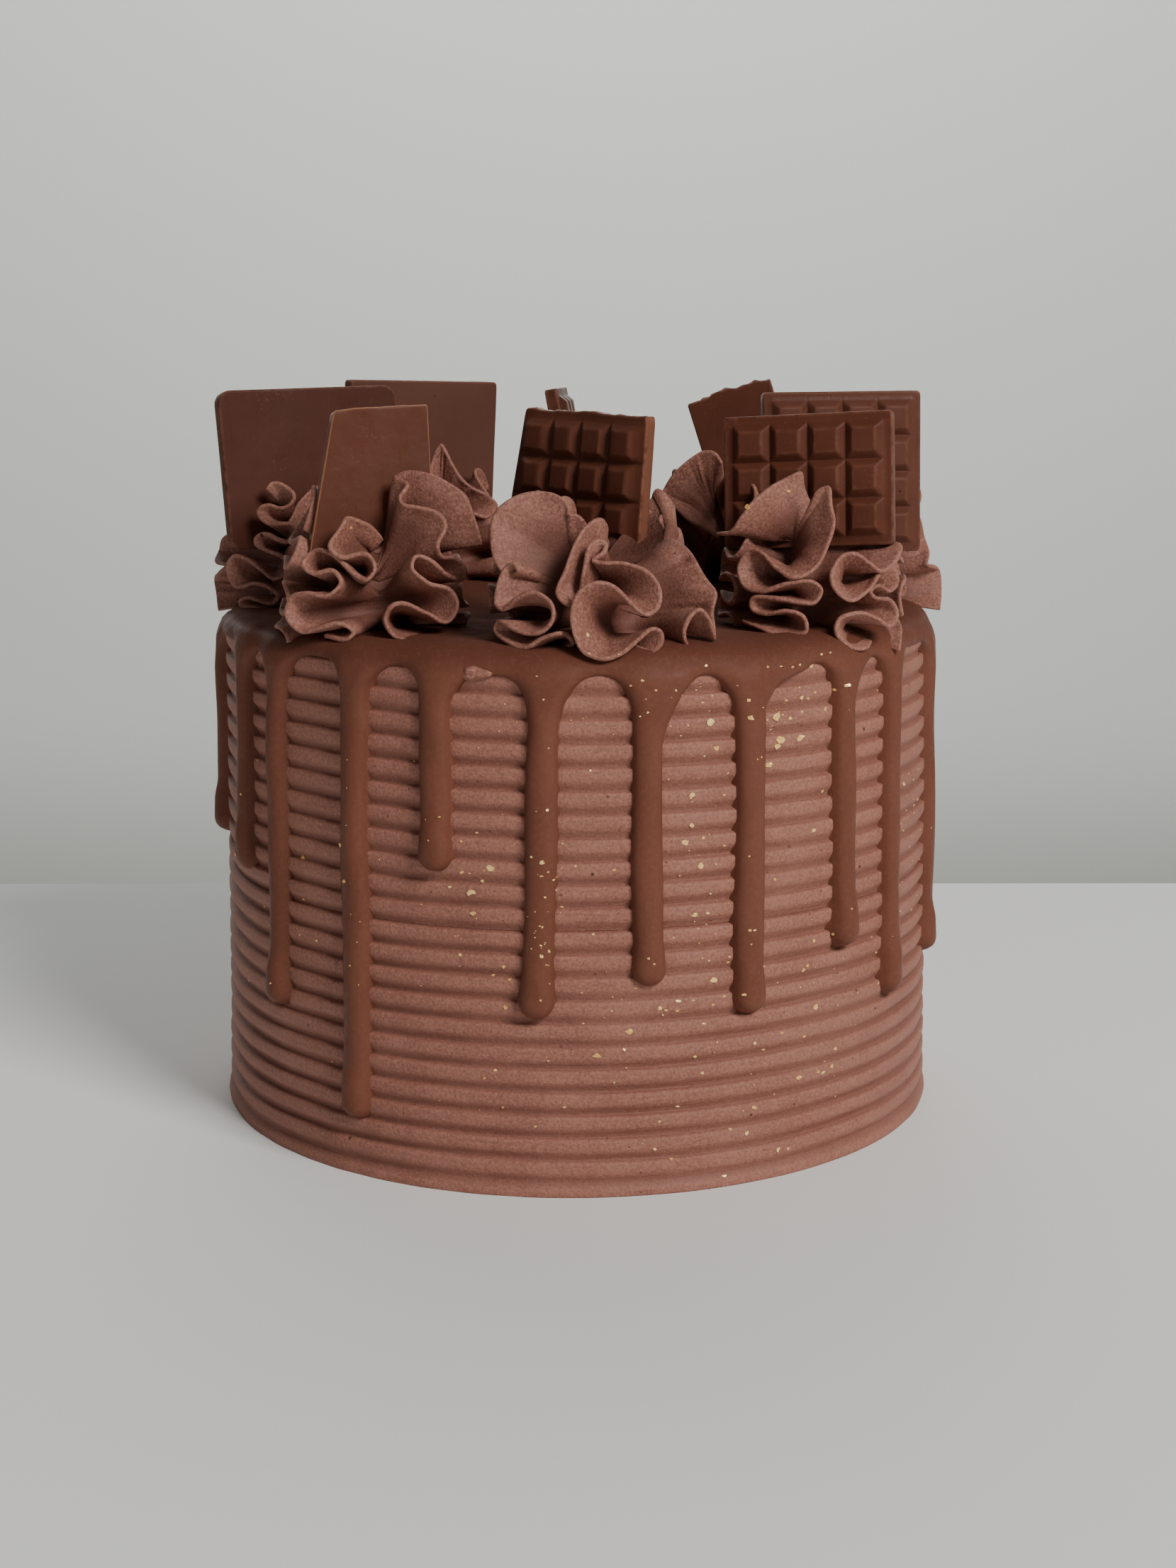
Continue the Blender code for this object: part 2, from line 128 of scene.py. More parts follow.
def polar(angle: Array | float, radius: Array | float, height: Array | float) -> Array:
    """Points round a vertical axis: (radius sin angle, -radius cos angle, height).

    Args:
        angle: degrees from the front towards +X.
        radius: distance from the axis.
        height: height of each point.

    Returns:
        Array with a last axis of three.
    """
    turn = np.radians(angle)
    across, along, up = np.broadcast_arrays(radius * np.sin(turn), -radius * np.cos(turn), height)
    return np.stack([across, along, up], axis=-1)


def grid_quads(rows: int, columns: int, closed: bool) -> Array:
    """Corner numbers of the quads of a grid whose points are listed row by row.

    Args:
        rows: number of point rows.
        columns: number of point columns.
        closed: whether the last column joins the first.

    Returns:
        Array (quads, 4), counterclockwise where columns run to the right and rows run up.
    """
    wide = columns if closed else columns - 1
    row, column = np.meshgrid(np.arange(rows - 1), np.arange(wide), indexing="ij")
    following = (column + 1) % columns
    corners = [row * columns + column, row * columns + following]
    corners += [(row + 1) * columns + following, (row + 1) * columns + column]
    return np.stack(corners, axis=-1).reshape(-1, 4)


def fan_triangles(ring: Array, centre: int, upward: bool) -> Array:
    """Triangles from a closed ring of point numbers to one centre point.

    Args:
        ring: point numbers, counterclockwise from above.
        centre: number of the centre point.
        upward: whether the fan faces up.

    Returns:
        Array (triangles, 3).
    """
    following = np.roll(ring, -1)
    middle = np.full(len(ring), centre)
    pair = (ring, following) if upward else (following, ring)
    return np.stack([middle, *pair], axis=-1)


def shell(name: str, points: Array, faces: list[Array], paint: dict[str, Array] | None = None) -> Piece:
    """A smooth-shaded mesh object from arrays of points and faces.

    Args:
        name: name of the object.
        points: array (points, 3).
        faces: arrays of quads or triangles.
        paint: named values, one for each point, that the finishes read.

    Returns:
        The new object, linked to the scene.
    """
    mesh = bpy.data.meshes.new(name)
    mesh.vertices.add(len(points))
    mesh.vertices.foreach_set("co", np.ascontiguousarray(points, np.float32).ravel())
    corners = np.concatenate([part.ravel() for part in faces])
    sizes = np.concatenate([np.full(len(part), part.shape[1]) for part in faces])
    mesh.loops.add(len(corners))
    mesh.loops.foreach_set("vertex_index", corners.astype(np.int32))
    mesh.polygons.add(len(sizes))
    mesh.polygons.foreach_set("loop_start", (np.cumsum(sizes) - sizes).astype(np.int32))
    mesh.polygons.foreach_set("use_smooth", np.ones(len(sizes), bool))
    mesh.update(calc_edges=True)
    mesh.validate()
    for label, values in (paint or {}).items():
        layer = mesh.attributes.new(label, "FLOAT", "POINT")
        layer.data.foreach_set("value", np.ascontiguousarray(values, np.float32).ravel())
    piece = bpy.data.objects.new(name, mesh)
    bpy.context.scene.collection.objects.link(piece)
    return piece


def closed_shell(name: str, rings: Array, ends: Array, paint: dict[str, Array] | None = None) -> Piece:
    """A closed shell from rings that lie one above another, with a fan over each end.

    Args:
        name: name of the object.
        rings: array (rows, columns, 3), rising, each ring counterclockwise from above.
        ends: centre points (2, 3) of the lowest and the highest ring.
        paint: named values for all ring points and then the two centres.

    Returns:
        The new object.
    """
    rows, columns = rings.shape[:2]
    count = rows * columns
    ring = np.arange(columns)
    faces = [
        grid_quads(rows, columns, True),
        fan_triangles(ring, count, False),
        fan_triangles(ring + count - columns, count + 1, True),
    ]
    return shell(name, np.concatenate([rings.reshape(-1, 3), ends]), faces, paint)


def facet(piece: Piece) -> None:
    """Shades a mesh flat, so that its faces meet in sharp edges."""
    piece.data.polygons.foreach_set("use_smooth", np.zeros(len(piece.data.polygons), bool))


def dress(piece: Piece, finish: "Finish", slot: str, *nodes: str) -> Piece:
    """Gives a finished piece its material and body, and hides the nodes it stands for.

    Args:
        piece: the object to dress.
        finish: the finish whose material it takes.
        slot: not used.
        nodes: CAD nodes that it replaces.

    Returns:
        The same piece.
    """
    piece.data.materials.clear()
    piece.data.materials.append(finish.material())
    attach(piece, BODY)
    if nodes:
        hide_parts(*nodes)
    LOG.info("%s: %d faces", piece.name, len(piece.data.polygons))
    return piece


@dataclass(frozen=True)
class Camera:
    """The photo's camera: where it stands, how it is turned, its lens and the photo's size in pixels."""

    eye: Triple = (5.64 * MM, -524.89 * MM, 173.49 * MM)
    pitch: float = 11.275
    yaw: float = -0.327
    roll: float = -0.109
    lens: float = 53.67
    film: float = 36.0
    picture: tuple[int, int] = (1659, 2212)
    nearest: float = 0.01
    furthest: float = 20.0

    def turning(self) -> Matrix:
        """The camera's turning: pitch below level, then yaw, with its roll first.

        Returns:
            The rotation as a 4 by 4 matrix.
        """
        level = Matrix.Rotation(math.radians(90 - self.pitch), 4, "X")
        roll = Matrix.Rotation(math.radians(self.roll), 4, "Z")
        return Matrix.Rotation(-math.radians(self.yaw), 4, "Z") @ level @ roll

    def first_met(self, across: float, down: float, carriers: list[Piece]) -> tuple[Vector, Vector] | None:
        """What the camera sees at a pixel of the photo.

        Args:
            across: pixels from the photo's left edge.
            down: pixels from its top edge.
            carriers: the pieces that may be seen there.

        Returns:
            The nearest place met and the surface's direction there, or None.
        """
        wide, tall = self.picture
        pixel = self.film / self.lens / tall
        ahead = Vector(((across - wide / 2) * pixel, (tall / 2 - down) * pixel, -1, 0))
        look = (self.turning() @ ahead).xyz.normalized()
        eye = Vector(self.eye)
        hits = [piece.ray_cast(eye, look) for piece in carriers]
        met = [(place, normal) for hit, place, normal, _ in hits if hit]
        return min(met, key=lambda pair: (pair[0] - eye).length, default=None)

    def build(self) -> None:
        """Places the camera at the photo's view."""
        made = bpy.data.objects.new("camera", bpy.data.cameras.new("camera"))
        made.data.lens = self.lens
        made.data.sensor_width = self.film
        made.data.clip_start = self.nearest
        made.data.clip_end = self.furthest
        made.matrix_world = Matrix.Translation(self.eye) @ self.turning()
        bpy.context.scene.collection.objects.link(made)
        bpy.context.scene.camera = made


CAMERA = Camera()


@dataclass(frozen=True)
class Pits:
    """Round pits: the distance between places that may have one, the widest one's width and how many do."""

    spacing: float
    width: float
    share: float


class Recipe:
    """Adds shader nodes to one new material and links them."""

    def __init__(self, name: str) -> None:
        """Makes the material and keeps its tree and its main shader.

        Args:
            name: name of the material.
        """
        self.made = bpy.data.materials.new(name)
        self.made.use_nodes = True
        self.tree = self.made.node_tree
        self.shader = self.tree.nodes["Principled BSDF"]
        self.place = self.add("ShaderNodeTexCoord").outputs["Object"]

    def add(
        self, kind: str, settings: dict | None = None, numbered: dict | None = None, **named: object,
    ) -> bpy.types.Node:
        """Adds a node.

        Args:
            kind: Blender's name for the node type.
            settings: properties to set on the node.
            numbered: values or output sockets, by input number.
            named: the same by input name, with _ for a space.

        Returns:
            The new node.
        """
        node = self.tree.nodes.new(kind)
        for label, value in (settings or {}).items():
            setattr(node, label, value)
        for number, value in (numbered or {}).items():
            self.join(node.inputs[number], value)
        for label, value in named.items():
            self.join(node.inputs[label.replace("_", " ")], value)
        return node

    def join(self, socket: Socket, value: object) -> None:
        """Links value to the socket if it is an output, or else sets it.

        Args:
            socket: the input.
            value: an output socket, or what the input is set to.
        """
        if isinstance(value, Socket):
            self.tree.links.new(value, socket)
        else:
            socket.default_value = value

    def stretched(self, scale: Triple) -> Socket:
        """Object coordinates scaled by a different amount on each axis."""
        return self.add("ShaderNodeMapping", Vector=self.place, Scale=scale).outputs["Vector"]

    def noise(self, width: float, detail: float = 3, rough: float = 0.55, place: object = None) -> Socket:
        """Noise whose bumps are about as wide as width.

        Args:
            width: width of a bump, in metres.
            detail: octaves of finer noise.
            rough: strength of the finer octaves.
            place: coordinates, the object's own if left out.

        Returns:
            The socket with values round 0.5.
        """
        settings = {"Scale": 0.6 / width, "Detail": detail, "Roughness": rough}
        return self.add("ShaderNodeTexNoise", Vector=place or self.place, **settings).outputs["Fac"]

    def ramp(self, value: Socket, low: float, high: float, start: float = 0, end: float = 1) -> Socket:
        """Value mapped from low..high to start..end and held there, easing at both ends.

        Args:
            value: the values to map.
            low: value that becomes start.
            high: value that becomes end.
            start: result at low and below.
            end: result at high and above.

        Returns:
            The mapped values.
        """
        limits = {"From_Min": low, "From_Max": high, "To_Min": start, "To_Max": end}
        eased = {"interpolation_type": "SMOOTHSTEP"}
        return self.add("ShaderNodeMapRange", eased, Value=value, **limits).outputs["Result"]

    def clouds(self, width: float, start: float, end: float, detail: float = 3) -> Socket:
        """Soft patches about as wide as width, from start in one kind to end in the other."""
        return self.ramp(self.noise(width, detail), 0.35, 0.65, start, end)

    def painted(self, label: str) -> Socket:
        """The mesh's own value of this name."""
        return self.add("ShaderNodeAttribute", {"attribute_name": label}).outputs["Fac"]

    def math(self, operation: str, first: object, second: object) -> Socket:
        """Result of a Math node."""
        return self.add("ShaderNodeMath", {"operation": operation}, {0: first, 1: second}).outputs[0]

    def blend(self, amount: object, first: object, second: object) -> Socket:
        """Colour that goes from first to second as amount goes from 0 to 1."""
        return self.add("ShaderNodeMix", {"data_type": "RGBA"}, {0: amount, 6: first, 7: second}).outputs[2]

    def laid_over(self, under: object, tint: Colour, mask: Socket, share: float) -> Socket:
        """A colour with a tint over it where the mask is 1, which covers it by this share."""
        return self.blend(self.math("MULTIPLY", mask, share), under, tint)

    def pits(self, kind: Pits) -> Socket:
        """Round pits scattered at random: 1 in a pit, 0 outside.

        Args:
            kind: spacing, width and share of the pits.

        Returns:
            The mask's socket.
        """
        cells = self.add("ShaderNodeTexVoronoi", Vector=self.place, Scale=1 / kind.spacing)
        chance = self.add("ShaderNodeSeparateColor", Color=cells.outputs["Color"])
        there = self.ramp(chance.outputs["Red"], 1 - kind.share, 1 - kind.share + 0.08)
        widest = kind.width / kind.spacing / 2
        size = self.ramp(chance.outputs["Green"], 0, 1, 0.35 * widest, widest)
        inside = self.math("SUBTRACT", 1.0, self.math("DIVIDE", cells.outputs["Distance"], size))
        return self.math("MULTIPLY", there, self.ramp(inside, 0.0, 0.45))

    def relief(self, height: Socket, depth: float, under: object = None) -> Socket:
        """Bump of this depth in metres, laid over another bump if one is given."""
        normal = {} if under is None else {"Normal": under}
        return self.add("ShaderNodeBump", Height=height, Distance=depth, Strength=1.0, **normal).outputs[0]

    def sunk(self, mask: Socket, depth: float, under: Socket) -> Socket:
        """Bump that goes this deep where the mask is 1, laid over another bump."""
        return self.relief(self.math("SUBTRACT", 1.0, mask), depth, under)

    def scatter(self, share: float, colours: Triple, reach: float) -> None:
        """Lets a share of the light travel under the surface, by colour up to reach in metres."""
        for label, value in (("Weight", share), ("Radius", colours), ("Scale", reach)):
            self.shader.inputs["Subsurface " + label].default_value = value

    def finish(self, colour: object, roughness: object, normal: object, sheen: float = 0.5) -> Material:
        """Sets the main shader's colour, roughness, normal and sheen, and returns the material.

        Args:
            colour: base colour.
            roughness: roughness.
            normal: bump.
            sheen: strength of the mirror reflection.

        Returns:
            The material.
        """
        looks = {"Base Color": colour, "Roughness": roughness, "Normal": normal, "Specular IOR Level": sheen}
        for label, value in looks.items():
            self.join(self.shader.inputs[label], value)
        return self.made


class Finish:
    """A finish whose material is made once, when it is first asked for."""

    def material(self) -> Material:
        """The finish's material."""
        kept = bpy.data.materials.get(self.title)
        return kept or self.mix(Recipe(self.title))


@dataclass(frozen=True)
class Buttercream(Finish):
    """Matt whipped buttercream: clouds, fine specks, grain, three kinds of air hole, and painted shade in
    hollows and holes.
    """

    title: str = "whipped_buttercream"
    tone: Colour = (0.264, 0.108, 0.076, 1)
    pale: Colour = (0.430, 0.210, 0.158, 1)
    deep: Colour = (0.135, 0.047, 0.032, 1)
    dark: Colour = (0.040, 0.014, 0.010, 1)
    cloud: float = 7 * MM
    speck: float = 0.36 * MM
    grain: float = 0.32 * MM
    lump: float = 1.6 * MM
    holes: Pits = Pits(2.3 * MM, 0.62 * MM, 0.26)
    pinholes: Pits = Pits(1.1 * MM, 0.42 * MM, 0.30)
    open_holes: Pits = Pits(4.6 * MM, 1.15 * MM, 0.22)
    shading: float = 0.85
    streaks: bool = False
    sheen: float = 0.32

    def mix(self, recipe: Recipe) -> Material:
        """Builds the material, with streaks along the comb's way if the finish has them.

        Args:
            recipe: collects the material's nodes.

        Returns:
            The finished material.
        """
        specks = recipe.noise(self.speck, 2, 0.7)
        holes = recipe.pits(self.holes)
        colour = recipe.blend(recipe.clouds(self.cloud, 0, 0.30, 2), self.tone, self.pale)
        colour = recipe.blend(recipe.ramp(specks, 0.48, 0.66, end=0.62), colour, self.pale)
        colour = recipe.blend(recipe.ramp(specks, 0.33, 0.49, start=0.50, end=0), colour, self.deep)
        # Painted shade: the deeper a point lies in a groove or fold, the more it goes over to the deep
        # colour.
        hollow_shade = recipe.ramp(recipe.painted("hollow_shade"), 0.0, 1.0, end=self.shading)
        colour = recipe.blend(hollow_shade, colour, self.deep)
        # Painted shade in the air holes: each kind of hole is darkened towards the deep or dark colour.
        colour = recipe.laid_over(colour, self.deep, holes, 0.85)
        colour = recipe.laid_over(colour, self.deep, recipe.pits(self.pinholes), 0.7)
        colour = recipe.laid_over(colour, self.dark, recipe.pits(self.open_holes), 0.9)
        bump = recipe.relief(recipe.noise(self.grain, 4, 0.6), 0.17 * MM)
        bump = recipe.relief(recipe.noise(self.lump), 0.16 * MM, bump)
        if self.streaks:
            drag = recipe.noise(0.5 * MM, 3, 0.6, recipe.stretched((0.06, 0.06, 1.4)))
            bump = recipe.relief(drag, 0.12 * MM, bump)
        recipe.scatter(0.12, (1.0, 0.45, 0.3), 1.2 * MM)
        rough = recipe.ramp(specks, 0.3, 0.7, start=0.52, end=0.72)
        return recipe.finish(colour, rough, recipe.sunk(holes, 0.22 * MM, bump), self.sheen)


@dataclass(frozen=True)
class Ganache(Finish):
    """Set milk chocolate ganache: smooth and softly glossy, duller towards the top and darkened there by
    painted shade.

    Each pair is the heights between which the painted shade darkens the colour or the gloss goes off.
    """

    title: str = "set_ganache"
    tone: Colour = (0.164, 0.058, 0.036, 1)
    pale: Colour = (0.215, 0.085, 0.056, 1)
    deep: Colour = (0.116, 0.038, 0.023, 1)
    cloud: float = 9 * MM
    speck: float = 0.55 * MM
    bubbles: Pits = Pits(4.5 * MM, 0.6 * MM, 0.12)
    painted_shade_heights: Pair = (104.5 * MM, 109.5 * MM)
    dulls: Pair = (104.0 * MM, 107.5 * MM)
    dulls_again: Pair = (109.3 * MM, 110.5 * MM)
    sheen: float = 0.13

    def mix(self, recipe: Recipe) -> Material:
        """Builds the material: slow tone changes, painted shade over the top, specks, soft swells and small
        bubbles.

        Args:
            recipe: collects the material's nodes.

        Returns:
            The finished material.
        """
        height = recipe.add("ShaderNodeSeparateXYZ", Vector=recipe.place).outputs["Z"]
        specks = recipe.noise(self.speck, 3, 0.7)
        bubbles = recipe.pits(self.bubbles)
        colour = recipe.blend(recipe.clouds(self.cloud, 0, 0.35, 2), self.tone, self.deep)
        # Painted shade: the colour goes over to the deep colour towards the top of the cap.
        colour = recipe.blend(recipe.ramp(height, *self.painted_shade_heights, end=0.85), colour, self.deep)
        colour = recipe.blend(recipe.ramp(specks, 0.50, 0.68, end=0.25), colour, self.pale)
        colour = recipe.blend(recipe.ramp(specks, 0.32, 0.48, start=0.25, end=0), colour, self.deep)
        # Painted shade in the bubbles.
        colour = recipe.laid_over(colour, self.deep, bubbles, 0.6)
        bump = recipe.relief(recipe.noise(5 * MM, 2), 0.35 * MM)
        bump = recipe.relief(recipe.noise(0.6 * MM), 0.02 * MM, bump)
        rough = recipe.clouds(3 * MM, 0.36, 0.50)
        rough = recipe.math("ADD", rough, recipe.ramp(height, *self.dulls, end=0.20))
        rough = recipe.math("ADD", rough, recipe.ramp(height, *self.dulls_again, end=0.32))
        recipe.scatter(0.05, (1.0, 0.4, 0.25), 1.0 * MM)
        return recipe.finish(colour, rough, recipe.sunk(bubbles, 0.15 * MM, bump), self.sheen)


@dataclass(frozen=True)
class BarChocolate(Finish):
    """Tempered milk chocolate: satin faces, paler edges, dust, hair scratches and pinholes.

    The paler edges are partly rubbed wear and partly painted highlight, the walls are painted paler partly as
    painted light, and the pinholes are darkened with painted shade. The worn-and-lit share is how much of the
    rim shows the rim's own colour.
    """

    title: str = "moulded_chocolate"
    tone: Colour = (0.104, 0.034, 0.0205, 1)
    pale: Colour = (0.215, 0.088, 0.053, 1)
    deep: Colour = (0.060, 0.015, 0.008, 1)
    rim: Colour = (0.34, 0.145, 0.082, 1)
    worn_and_lit_rim: float = 0.0
    holes: Pits = Pits(6 * MM, 0.8 * MM, 0.16)
    pinholes: Pits = Pits(2.6 * MM, 0.45 * MM, 0.10)
    sheen: float = 0.09

    def mix(self, recipe: Recipe) -> Material:
        """Builds the material from the mesh's values for edges, broken faces and walls.

        Args:
            recipe: collects the material's nodes.

        Returns:
            The finished material.
        """
        edge = recipe.painted("edge")
        dust = recipe.ramp(recipe.noise(0.45 * MM, 4, 0.7), 0.56, 0.74)
        dust = recipe.math("MULTIPLY", dust, recipe.ramp(recipe.noise(6 * MM, 2), 0.45, 0.65))
        rubbed_and_highlit = recipe.math("MULTIPLY", edge, recipe.ramp(recipe.noise(1.1 * MM), 0.3, 0.6))
        holes = recipe.math("MAXIMUM", recipe.pits(self.holes), recipe.pits(self.pinholes))
        colour = recipe.blend(recipe.clouds(11 * MM, 0, 0.3), self.tone, self.deep)
        colour = recipe.laid_over(colour, self.pale, dust, 0.5)
        # Painted highlight and wear: edges and square crests go paler, as rubbed chocolate and as edges
        # catching the light.
        colour = recipe.laid_over(colour, self.pale, rubbed_and_highlit, 0.75)
        # Paler rim on the smooth face: partly worn and partly painted highlight.
        if self.worn_and_lit_rim:
            colour = recipe.blend(recipe.ramp(edge, 0.25, 0.75, end=self.worn_and_lit_rim), colour, self.rim)
        colour = recipe.laid_over(colour, self.pale, recipe.painted("broken"), 0.8)
        # Walls painted paler by the piece's share: partly snapped chocolate, partly painted light, so walls
        # in shade get none.
        colour = recipe.blend(recipe.painted("wall"), colour, self.pale)
        # Painted shade in the pinholes.
        colour = recipe.laid_over(colour, self.deep, holes, 0.8)
        hairs = recipe.noise(0.5 * MM, 2, 0.5, recipe.stretched((1.0, 0.8, 0.05)))
        bump = recipe.relief(recipe.noise(3.5 * MM, 2), 0.10 * MM)
        bump = recipe.relief(recipe.noise(0.35 * MM), 0.018 * MM, bump)
        bump = recipe.sunk(holes, 0.25 * MM, bump)
        bump = recipe.sunk(recipe.ramp(hairs, 0.66, 0.72), 0.02 * MM, bump)
        rough = recipe.ramp(recipe.noise(2.2 * MM), 0.3, 0.7, start=0.34, end=0.52)
        return recipe.finish(colour, rough, bump, self.sheen)


@dataclass(frozen=True)
class GoldLeaf(Finish):
    """Edible gold leaf, crumpled and bright: pale as it lies on cream, so only partly a metal."""

    title: str = "gold_leaf"
    bright: Colour = (1.0, 0.73, 0.30, 1)
    amber: Colour = (0.85, 0.46, 0.13, 1)
    metallic: float = 0.25

    def mix(self, recipe: Recipe) -> Material:
        """Builds the material: leaf with patches of deeper gold and small creases.

        Args:
            recipe: collects the material's nodes.

        Returns:
            The finished material.
        """
        patch = recipe.clouds(0.8 * MM, 0, 1, 2)
        bump = recipe.relief(recipe.noise(0.25 * MM), 0.05 * MM)
        recipe.shader.inputs["Metallic"].default_value = self.metallic
        rough = recipe.ramp(patch, 0, 1, start=0.28, end=0.45)
        return recipe.finish(recipe.blend(patch, self.bright, self.amber), rough, bump)


BUTTERCREAM = Buttercream()
COMBED = Buttercream(
    title="combed_buttercream", tone=(0.298, 0.122, 0.087, 1), pale=(0.418, 0.190, 0.138, 1),
    deep=(0.190, 0.071, 0.050, 1), shading=0.55, streaks=True,
)
GANACHE = Ganache()
CHOCOLATE = BarChocolate()
WARM_CHOCOLATE = BarChocolate(
    title="warm_moulded_chocolate", tone=(0.104, 0.0300, 0.0140, 1), deep=(0.074, 0.0185, 0.0080, 1),
    worn_and_lit_rim=0.85,
)
# A lighter, greyer copy for the back-left piece: painted sheen, standing in for the room's reflection on its
# face.
SHEEN_PAINTED_CHOCOLATE = BarChocolate(
    title="sheen_painted_moulded_chocolate", tone=(0.126, 0.0540, 0.0390, 1), deep=(0.098, 0.0390, 0.0270, 1),
)
DARKER_CHOCOLATE = BarChocolate(
    title="darker_moulded_chocolate", tone=(0.084, 0.0280, 0.0175, 1), deep=(0.052, 0.0140, 0.0080, 1),
)
PALER_CHOCOLATE = BarChocolate(
    title="paler_moulded_chocolate", tone=(0.118, 0.0440, 0.0290, 1), deep=(0.072, 0.0210, 0.0125, 1),
)
GOLD = GoldLeaf()


@dataclass
class Comb:
    """The comb's marks: where the ridges and grooves lie on the side of the cake.

    The taper is how much the radius shrinks for each unit of height. A phase is the way down from
    one groove to the next, from 0 to 1: the lip ends at a phase, and the undercut begins at one.
    """

    base_radius: float = 80 * MM
    taper: float = 0.018
    pitch: float = 4.723 * MM
    depth: float = 1.0 * MM
    top_groove: float = 106.6 * MM
    top: float = 107 * MM
    flare: float = 0.4 * MM
    flare_height: float = 5 * MM
    lip_end: float = 0.10
    lip_power: float = 1.4
    undercut_start: float = 0.46
    undercut_width: float = 0.50
    broad_swell: Ripple = Ripple(0.22 * MM, 38 * MM, 3)
    fine_swell: Ripple = Ripple(0.07 * MM, 7 * MM, 4)
    uneven_depth: Ripple = Ripple(0.18, 16 * MM, 6)
    wander: Ripple = Ripple(0.24 * MM, 46 * MM, 5)
    steady_foot: float = 8 * MM

    def crest(self, height: Array | float) -> Array | float:
        """Radius of the ridges at a height: base radius less the taper."""
        return self.base_radius - self.taper * height

    def phase(self, height: Array) -> Array:
        """Way down from the groove above a height to the next one, from 0 to 1."""
        turns = (self.top_groove - height) / self.pitch
        return turns - np.floor(turns)

    def groove_share(self, phase: Array) -> Array:
        """How deep in a groove a phase is: a short lip, a full front, then an undercut to the crease."""
        lip = np.clip(1 - phase / self.lip_end, 0, 1) ** self.lip_power
        return np.maximum(lip, rising(phase, self.undercut_start, self.undercut_width))

    def drift(self, angle: Array, height: Array) -> Array:
        """How far the comb's lines wander up and down."""
        return self.wander.over(polar(angle, self.base_radius, height)) * smooth(height / self.steady_foot)

    def radius(self, angle: Array, height: Array, phase: Array) -> Array:
        """Radius of the combed side: the ridge radius less the groove, with slow swells.

        Args:
            angle: degrees from the front.
            height: height above the base.
            phase: way down from one groove to the next.

        Returns:
            Radius at each place.
        """
        places = polar(angle, self.base_radius, height)
        swell = self.broad_swell.over(places) + self.fine_swell.over(places)
        bite = self.depth * (1 + self.uneven_depth.over(places))
        foot = self.flare * (1 - smooth(height / self.flare_height))
        return self.crest(height) + foot + swell - bite * self.groove_share(phase)


@dataclass
class CombedSide:
    """The body of the cake in two stacked shells that meet in a groove.

    The foot is the heights of the lowest rows, in millimetres. Each phase is a row between two grooves.
    """

    comb: Comb
    columns: int = 560
    meeting_groove: int = 11
    grooves: int = 22
    foot: tuple[float, ...] = (0.0, 0.35, 0.9, 1.6)
    top_phase: float = 0.3
    phases: tuple[float, ...] = (0, 0.03, 0.07, 0.13, 0.22, 0.33, 0.44, 0.54, 0.64, 0.74, 0.83, 0.91, 0.965)

    def rows(self, first: int, last: int) -> tuple[Array, Array]:
        """Row heights, rising, and their phases between two grooves counted from the top.

        Args:
            first: upper groove.
            last: lower groove.

        Returns:
            Heights and phases, one for each row.
        """
        steps = np.array(self.phases)
        down = (np.arange(first, last)[:, None] + steps[None, :]).ravel()
        phases = np.tile(steps, last - first)
        heights = self.comb.top_groove - self.comb.pitch * np.append(down, last)
        return heights[::-1], np.append(phases, 1.0)[::-1]

    def band(self, name: str, heights: Array, phases: Array) -> Piece:
        """A turned side at the given heights with a flat disc at both ends, dressed as combed cream.

        Args:
            name: name of the piece.
            heights: row heights, rising.
            phases: each row's way down between two grooves.

        Returns:
            The new object.
        """
        angles, levels = np.meshgrid(np.arange(self.columns) * 360 / self.columns, heights)
        phase = np.broadcast_to(phases[:, None], levels.shape)
        radius = self.comb.radius(angles, levels, phase)
        side = polar(angles, radius, levels + self.comb.drift(angles, levels))
        ends = UP * heights[[0, -1], None]
        # Painted shade: how deep each row lies in a groove, which the combed finish paints darker.
        hollow_shade = np.append(self.comb.groove_share(phase).ravel(), [0, 0])
        return dress(closed_shell(name, side, ends, {"hollow_shade": hollow_shade}), COMBED, "buttercream", "cake")

    def build(self) -> list[Piece]:
        """Builds both shells, the lower one first.

        Returns:
            Lower and upper shell.
        """
        foot = np.array(self.foot) * MM
        low, low_phases = self.rows(self.meeting_groove, self.grooves)
        high, high_phases = self.rows(0, self.meeting_groove)
        return [
            self.band("cake_lower", np.append(foot, low), np.append(self.comb.phase(foot), low_phases)),
            self.band("cake_upper", np.append(high, self.comb.top), np.append(high_phases, self.top_phase)),
        ]


@dataclass(frozen=True)
class Drip:
    """One drip: its angle and its lean in degrees, its tip's height and half widths in millimetres.

    A flare is how much wider the drip gets on that side up to the hem, and over what height. The
    stem's width wavers, and the bulb goes over into it within the neck.
    """

    angle: float
    tip: float
    lean: float = 0.0
    half_width: float = 3.1
    bulb: float = 3.5
    left: Pair = (2.6, 8)
    right: Pair = (2.8, 8)
    waver: float = 0.045
    wave: float = 6.5
    neck: float = 6

    def width_at(self, height: Array, hem: Array, offset: Array, order: int) -> Array:
        """Half width of the drip: a bulb at the tip, a slightly uneven stem and a flare up to the hem.

        Args:
            height: height above the base.
            hem: height of the hem there.
            offset: degrees from the drip's middle, negative to its left.
            order: the drip's place in the row, which picks the stem's unevenness.

        Returns:
            Half the width at each place.
        """
        bulb = self.bulb * MM
        stem = self.half_width * MM * (1 + self.waver * np.sin(height / (self.wave * MM) + 1.7 * order))
        width = bulb + (stem - bulb) * rising(height, self.tip * MM + bulb, self.neck * MM)
        for side, (wider, tall) in ((-1, self.left), (1, self.right)):
            climb = np.clip((height - hem) / (tall * MM) + 1, 0, 1)
            width = width + np.where(np.sign(offset) == side, wider * MM * climb ** 2, 0)
        return width


